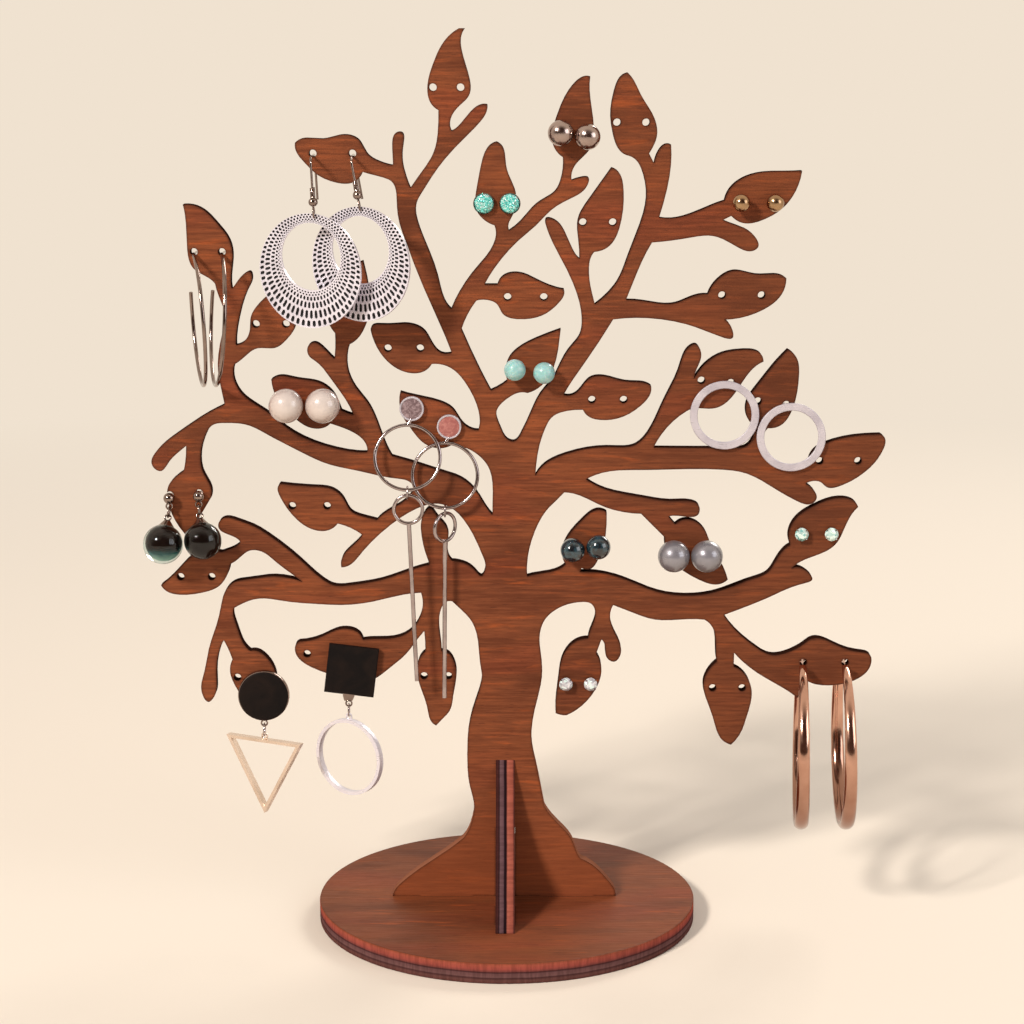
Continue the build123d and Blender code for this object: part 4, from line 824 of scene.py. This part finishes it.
def gold_hoop(side):
    """A puffed crescent hoop: slim at its clasp, full at its foot, with a wire through the leaf."""
    node = f"gold_hoop_{side}"
    outer, half_gap = GOLD_HOOP_RADIUS, GOLD_HOOP_HALF_GAP
    wire_z = math.sqrt(outer * outer - half_gap * half_gap) - 0.8
    hang = turned(-GOLD_HOOP_LEAN[side], "Y") @ turned(-GOLD_HOOP_TURN[side], "Z")
    place = at(GOLD_HOOP_X[side], 0, GOLD_HOOP_Z) @ hang @ at(0, 0, -wire_z)
    form = Form()
    rows = []
    steps, sides = 96, 20
    start = math.asin(half_gap / outer)
    for k in range(steps + 1):
        a = start + (FULL_TURN - 2 * start) * k / steps
        full = 0.5 - 0.5 * math.cos(a)
        depth = 0.8 + 0.85 * full
        wide = 1.1 + 1.35 * full ** 0.4
        middle = outer - depth
        row = []
        for t in turns_of(sides):
            across = wide * math.sin(t) * (1.0 - 0.10 * math.cos(t))
            r = middle + depth * math.cos(t)
            row.append((across, -r * math.sin(a), r * math.cos(a)))
        rows.append(row)
    form.rows(rows, place)
    form.tube([(0, -5.9, wire_z), (0, 5.9, wire_z)], POST_RADIUS, 14, place=place)
    for end in (-5.6, 5.6):
        form.ball(0.75, place @ at(0, end, wire_z - 0.05), 20, 12)
    form.piece(f"hoop_{side}", HOOP_METAL, node, "rose_gold", node)


def ring_drop_stud(side):
    """A stone in a round bezel, with the big ring on a neck below."""
    node, body = f"ring_drop_stud_{side}", f"ring_drop_{side}"
    x, z = RING_DROP_PLACE[side]
    place = at(x, SEAT, z) @ FRONT
    half = BEZEL_RADIUS
    bezel = Form()
    bezel.lathe([(0.5, 0), (half - 0.25, 0), (half, 0.2), (half, 1.2), (half - 0.16, 1.38),
                 (half - 0.42, 1.36), (half - 0.55, 1.05), (0.5, 1.0)], place, 48)
    bezel.piece(f"bezel_{side}", BRUSHED, body, "bright_silver")
    form = Form()
    shift = RING_DROP_SHIFT
    tilt = at(x, SEAT - 0.7, z - half) @ turned(-RING_DROP_LEAN[side], "X")
    form.tube([(0, 0, 0.6), (-0.7, 0, -0.4), (shift, 0, -1.4)], 0.58, 14, place=tilt)
    hang = at(shift, 0, -RING_DROP_NECK - BIG_RING_RADIUS - BIG_RING_WIRE)
    form.ring(BIG_RING_RADIUS, BIG_RING_WIRE, tilt @ hang @ FRONT, 96, 16)
    post(form, x, z, SEAT - 0.4)
    form.piece(f"drop_ring_{side}", BRIGHT, body, "bright_silver", node)
    rose = Form()
    rose.lathe([(half - 0.6, 0.95), (half - 0.7, 1.14), (2.6, 1.24), (1.2, 1.27), (0.05, 1.28)],
               place, 48)
    rose.piece(f"rose_stone_{side}", ROSE_STONES[side], body, "bright_silver")


def black_circle():
    """A black enamel disc in a thin silver rim, with its eye and post."""
    node, body = "black_circle_stud", "black_circle"
    low, high = span(node)
    half = (high.x - low.x) / 2
    x, z = low.x + half, high.z - half
    place = at(x, SEAT, z) @ FRONT
    face = Form()
    face.lathe([(0.05, 0.2), (half - 0.3, 0.2), (half - 0.3, 1.8), (half - 0.55, 1.96),
                (half - 1.4, BLACK_THICKNESS), (0.05, BLACK_THICKNESS)], place, 72)
    face.piece("circle_face", ENAMEL, body, "black_enamel", node)
    rim = Form()
    rim.lathe([(half - 0.32, 0.1), (half - 0.1, 0), (half, 0.12), (half, 1.7),
               (half - 0.12, 1.86), (half - 0.32, 1.8)], place, 72, closed=True)
    eye = at(x, SEAT - BLACK_THICKNESS / 2, z - half - EYE_RADIUS)
    rim.ring(EYE_RADIUS, EYE_WIRE, eye @ FRONT, 32, 10)
    post(rim, *CIRCLE_POST, SEAT - 0.3)
    rim.piece("circle_rim", STEEL, body, "steel_wire")


def black_square():
    """A black square plate with a silver clip and an eye at its foot."""
    node, body = "black_square_stud", "black_square"
    x, z = SQUARE_CENTRE
    half, thick = SQUARE_HALF, BLACK_THICKNESS
    place = at(x, SEAT, z) @ turned(SQUARE_TURN, "Y") @ FRONT
    face = Form()
    soft = 0.25
    small = half - soft
    rows = []
    for size, height in ((small, 0.0), (half, soft), (half, thick - soft), (small, thick)):
        rows.append([(size, size, height), (-size, size, height),
                     (-size, -size, height), (size, -size, height)])
    face.rows(rows, place)
    face.piece("square_face", ENAMEL, body, "black_enamel", node)
    foot = place @ at(0, -half, thick / 2)
    clip = Form()
    clip_foot = 2.4
    rows = []
    steps = ((2.0, 0.8, 0.95), (2.0, -0.3, 0.95), (1.5, -1.9, 0.7), (1.2, -clip_foot, 0.5))
    for wide, height, deep in steps:
        back = -deep * 0.2
        rows.append([(wide, height, back), (wide, height, deep),
                     (-wide, height, deep), (-wide, height, back)])
    clip.rows(rows, foot)
    low = foot.translation
    eye = at(low.x, low.y - 0.5, low.z - clip_foot - EYE_RADIUS + EYE_WIRE)
    clip.ring(EYE_RADIUS, EYE_WIRE, eye @ FRONT, 32, 10)
    post(clip, *SQUARE_POST, SEAT - 0.3)
    clip.piece("square_clip", STEEL, body, "steel_wire")


def glass_ball(side):
    """A clear glass ball round a dark heart, which is a painted reflection of a dark room."""
    node, body = f"glass_ball_{side}", f"glass_drop_{side}"
    low, high = span(node)
    centre = (low + high) / 2
    radius = (high.z - low.z) / 2
    shell = Form()
    shell.ball(radius, Matrix.Translation(centre), 64, 40)
    shell.piece(f"drop_ball_{side}", BALL_GLASS, body, "glass_ball", node)
    # The heart is a painted reflection of a dark room seen through the glass.
    heart = Form()
    share, right, up = PAINTED_HEART[side]
    heart.ball(radius * share, Matrix.Translation(centre + Vector((right, 0, up))), 48, 30)
    heart.piece(f"drop_painted_heart_{side}", PAINTED_CORES[side], body, "glass_ball")


for side in SIDES:
    ball_stud("white_pearl", WHITE_PEARL, "white_pearl", side)
    ball_stud("grey_pearl", GREY_PEARL, "grey_pearl", side)
    ball_stud("aqua", AQUA, "aqua_stone", side)
    ball_stud("dark_bead", DARK_STONE, "dark_stone", side)
    ball_stud("silver_ball", SATIN_SILVER, "satin_silver", side)
    ball_stud("gold_ball", GOLD, "gold", side)
    glitter_stud(side)
    crystal_stud("turquoise_crystal", TURQUOISE, side)
    crystal_stud("clear_crystal", CLEAR, side)
    glass_ball(side)
    paint(f"silver_hoop_{side}", STEEL)
    paint(f"ring_drop_link_{side}", BRIGHT)
    paint(f"ring_drop_bar_{side}", BRIGHT)
    paint(f"glass_drop_stud_{side}", STEEL)
    paint(f"glass_drop_cap_{side}", STEEL)
for make in (ring_stud, filigree_hook, filigree_disc, gold_hoop, ring_drop_stud):
    for side in SIDES:
        make(side)
black_circle()
black_square()
paint("triangle_link", BRIGHT)
paint("triangle_drop", PALE_GOLD, 0.12)
paint("flat_ring_link", BRIGHT)
paint("flat_ring_drop", PALE_SILVER, 0.16)


# Floor, light and camera
CREAM = colour(240, 226, 208)
DUSK = colour(78, 58, 50)
SOFT_LIGHT = (0.98, 0.95, 0.95, 1)
FLOOR_REACH = 12.0


def stage_material(name, shade):
    """Plain cream, lit and shadowed near the object, and the backdrop's own colour far from it."""
    shader = Shader(name, Base_Color=shade, Roughness=0.9, Specular_IOR_Level=0.1)
    glow = shader.node("ShaderNodeEmission")
    glow.inputs["Color"].default_value = shade
    length = shader.node("ShaderNodeVectorMath", operation="LENGTH")
    shader.put(length.inputs[0], shader.place.outputs["Object"])
    distance = shader.maths("MULTIPLY", length.outputs["Value"], 0.5)
    far = shader.ramp(distance, (0.12, 0.0), (0.55, 1.0))
    share = shader.maths("MULTIPLY", far, seen_rays(shader))
    shader.put(shader.output, shader.either(share, shader.surface.outputs[0], glow.outputs[0]))
    return shader.material


def seen_rays(nodes):
    """1 for the camera's rays and for what metal and glass show, and 0 for the rays that light."""
    rays = nodes.node("ShaderNodeLightPath").outputs
    shine = nodes.maths("MAXIMUM", rays["Is Glossy Ray"], rays["Is Transmission Ray"])
    return nodes.maths("MAXIMUM", rays["Is Camera Ray"], shine)


def studio():
    """Soft light from all round, and the cream that camera, metal and glass see.

    Polished metal also shows a darker side towards -Y, as of the room in front of the object.
    """
    world = bpy.data.worlds.new("studio")
    bpy.context.scene.world = world
    world.use_nodes = True
    nodes = Nodes(world.node_tree)

    def background(shade, strength=1.0):
        made = nodes.node("ShaderNodeBackground")
        made.inputs["Color"].default_value = shade
        made.inputs["Strength"].default_value = strength
        return made.outputs[0]

    ahead = nodes.node("ShaderNodeMapRange", interpolation_type="SMOOTHSTEP")
    direction = nodes.node("ShaderNodeTexCoord").outputs["Generated"]
    nodes.put(ahead.inputs["Value"], nodes.part(direction, Y_AXIS))
    for name, value in (("From Min", -0.15), ("From Max", -0.75), ("To Min", 0.0), ("To Max", 1.0)):
        ahead.inputs[name].default_value = value
    glossy = nodes.node("ShaderNodeLightPath").outputs["Is Glossy Ray"]
    dim = nodes.maths("MULTIPLY", ahead.outputs[0], glossy)
    seen = nodes.either(dim, background(CREAM), background(DUSK))
    both = nodes.either(seen_rays(nodes), background(SOFT_LIGHT, 0.34), seen)
    nodes.put(nodes.node("ShaderNodeOutputWorld").inputs["Surface"], both)


def lamp(name, place, target, size, power, tint):
    """A soft square lamp aimed at a point; lengths in metres."""
    light = bpy.data.lights.new(name, "AREA")
    light.shape = "SQUARE"
    light.size = size
    light.energy = power
    light.color = tint
    made = bpy.data.objects.new(name, light)
    made.location = place
    made.rotation_euler = (Vector(target) - Vector(place)).to_track_quat("-Z", "Y").to_euler()
    bpy.context.scene.collection.objects.link(made)


floor_form = bpy.data.meshes.new("floor")
corners = [(-FLOOR_REACH, -FLOOR_REACH, 0), (FLOOR_REACH, -FLOOR_REACH, 0),
           (FLOOR_REACH, FLOOR_REACH, 0), (-FLOOR_REACH, FLOOR_REACH, 0)]
floor_form.from_pydata(corners, [], [[0, 1, 2, 3]])
floor_form.materials.append(stage_material("floor_cream", CREAM))
floor = bpy.data.objects.new("floor", floor_form)
bpy.context.scene.collection.objects.link(floor)

studio()
lamp("key", (-1.55, -1.80, 1.78), (0, 0, 0.14), 0.42, 79, (1.0, 0.95, 0.90))
lamp("fill", (1.3, -0.8, 0.7), (0, 0, 0.15), 0.9, 7, (0.92, 0.95, 1.0))
lamp("rim", (0.7, 1.0, 0.9), (0, 0, 0.18), 0.5, 8, (1.0, 0.97, 0.93))

camera = bpy.data.cameras.new("camera")
camera.sensor_width = SENSOR_MM
camera.lens = SENSOR_MM * FOCAL_PIXELS / FRAME_PIXELS
camera.clip_start, camera.clip_end = 0.05, 50
camera_object = bpy.data.objects.new("camera", camera)
camera_object.location = CAMERA_PLACE
camera_object.rotation_euler = (math.radians(90 - CAMERA_DOWN), 0, 0)
bpy.context.scene.collection.objects.link(camera_object)
bpy.context.scene.camera = camera_object
bpy.context.scene.view_settings.view_transform = "Standard"
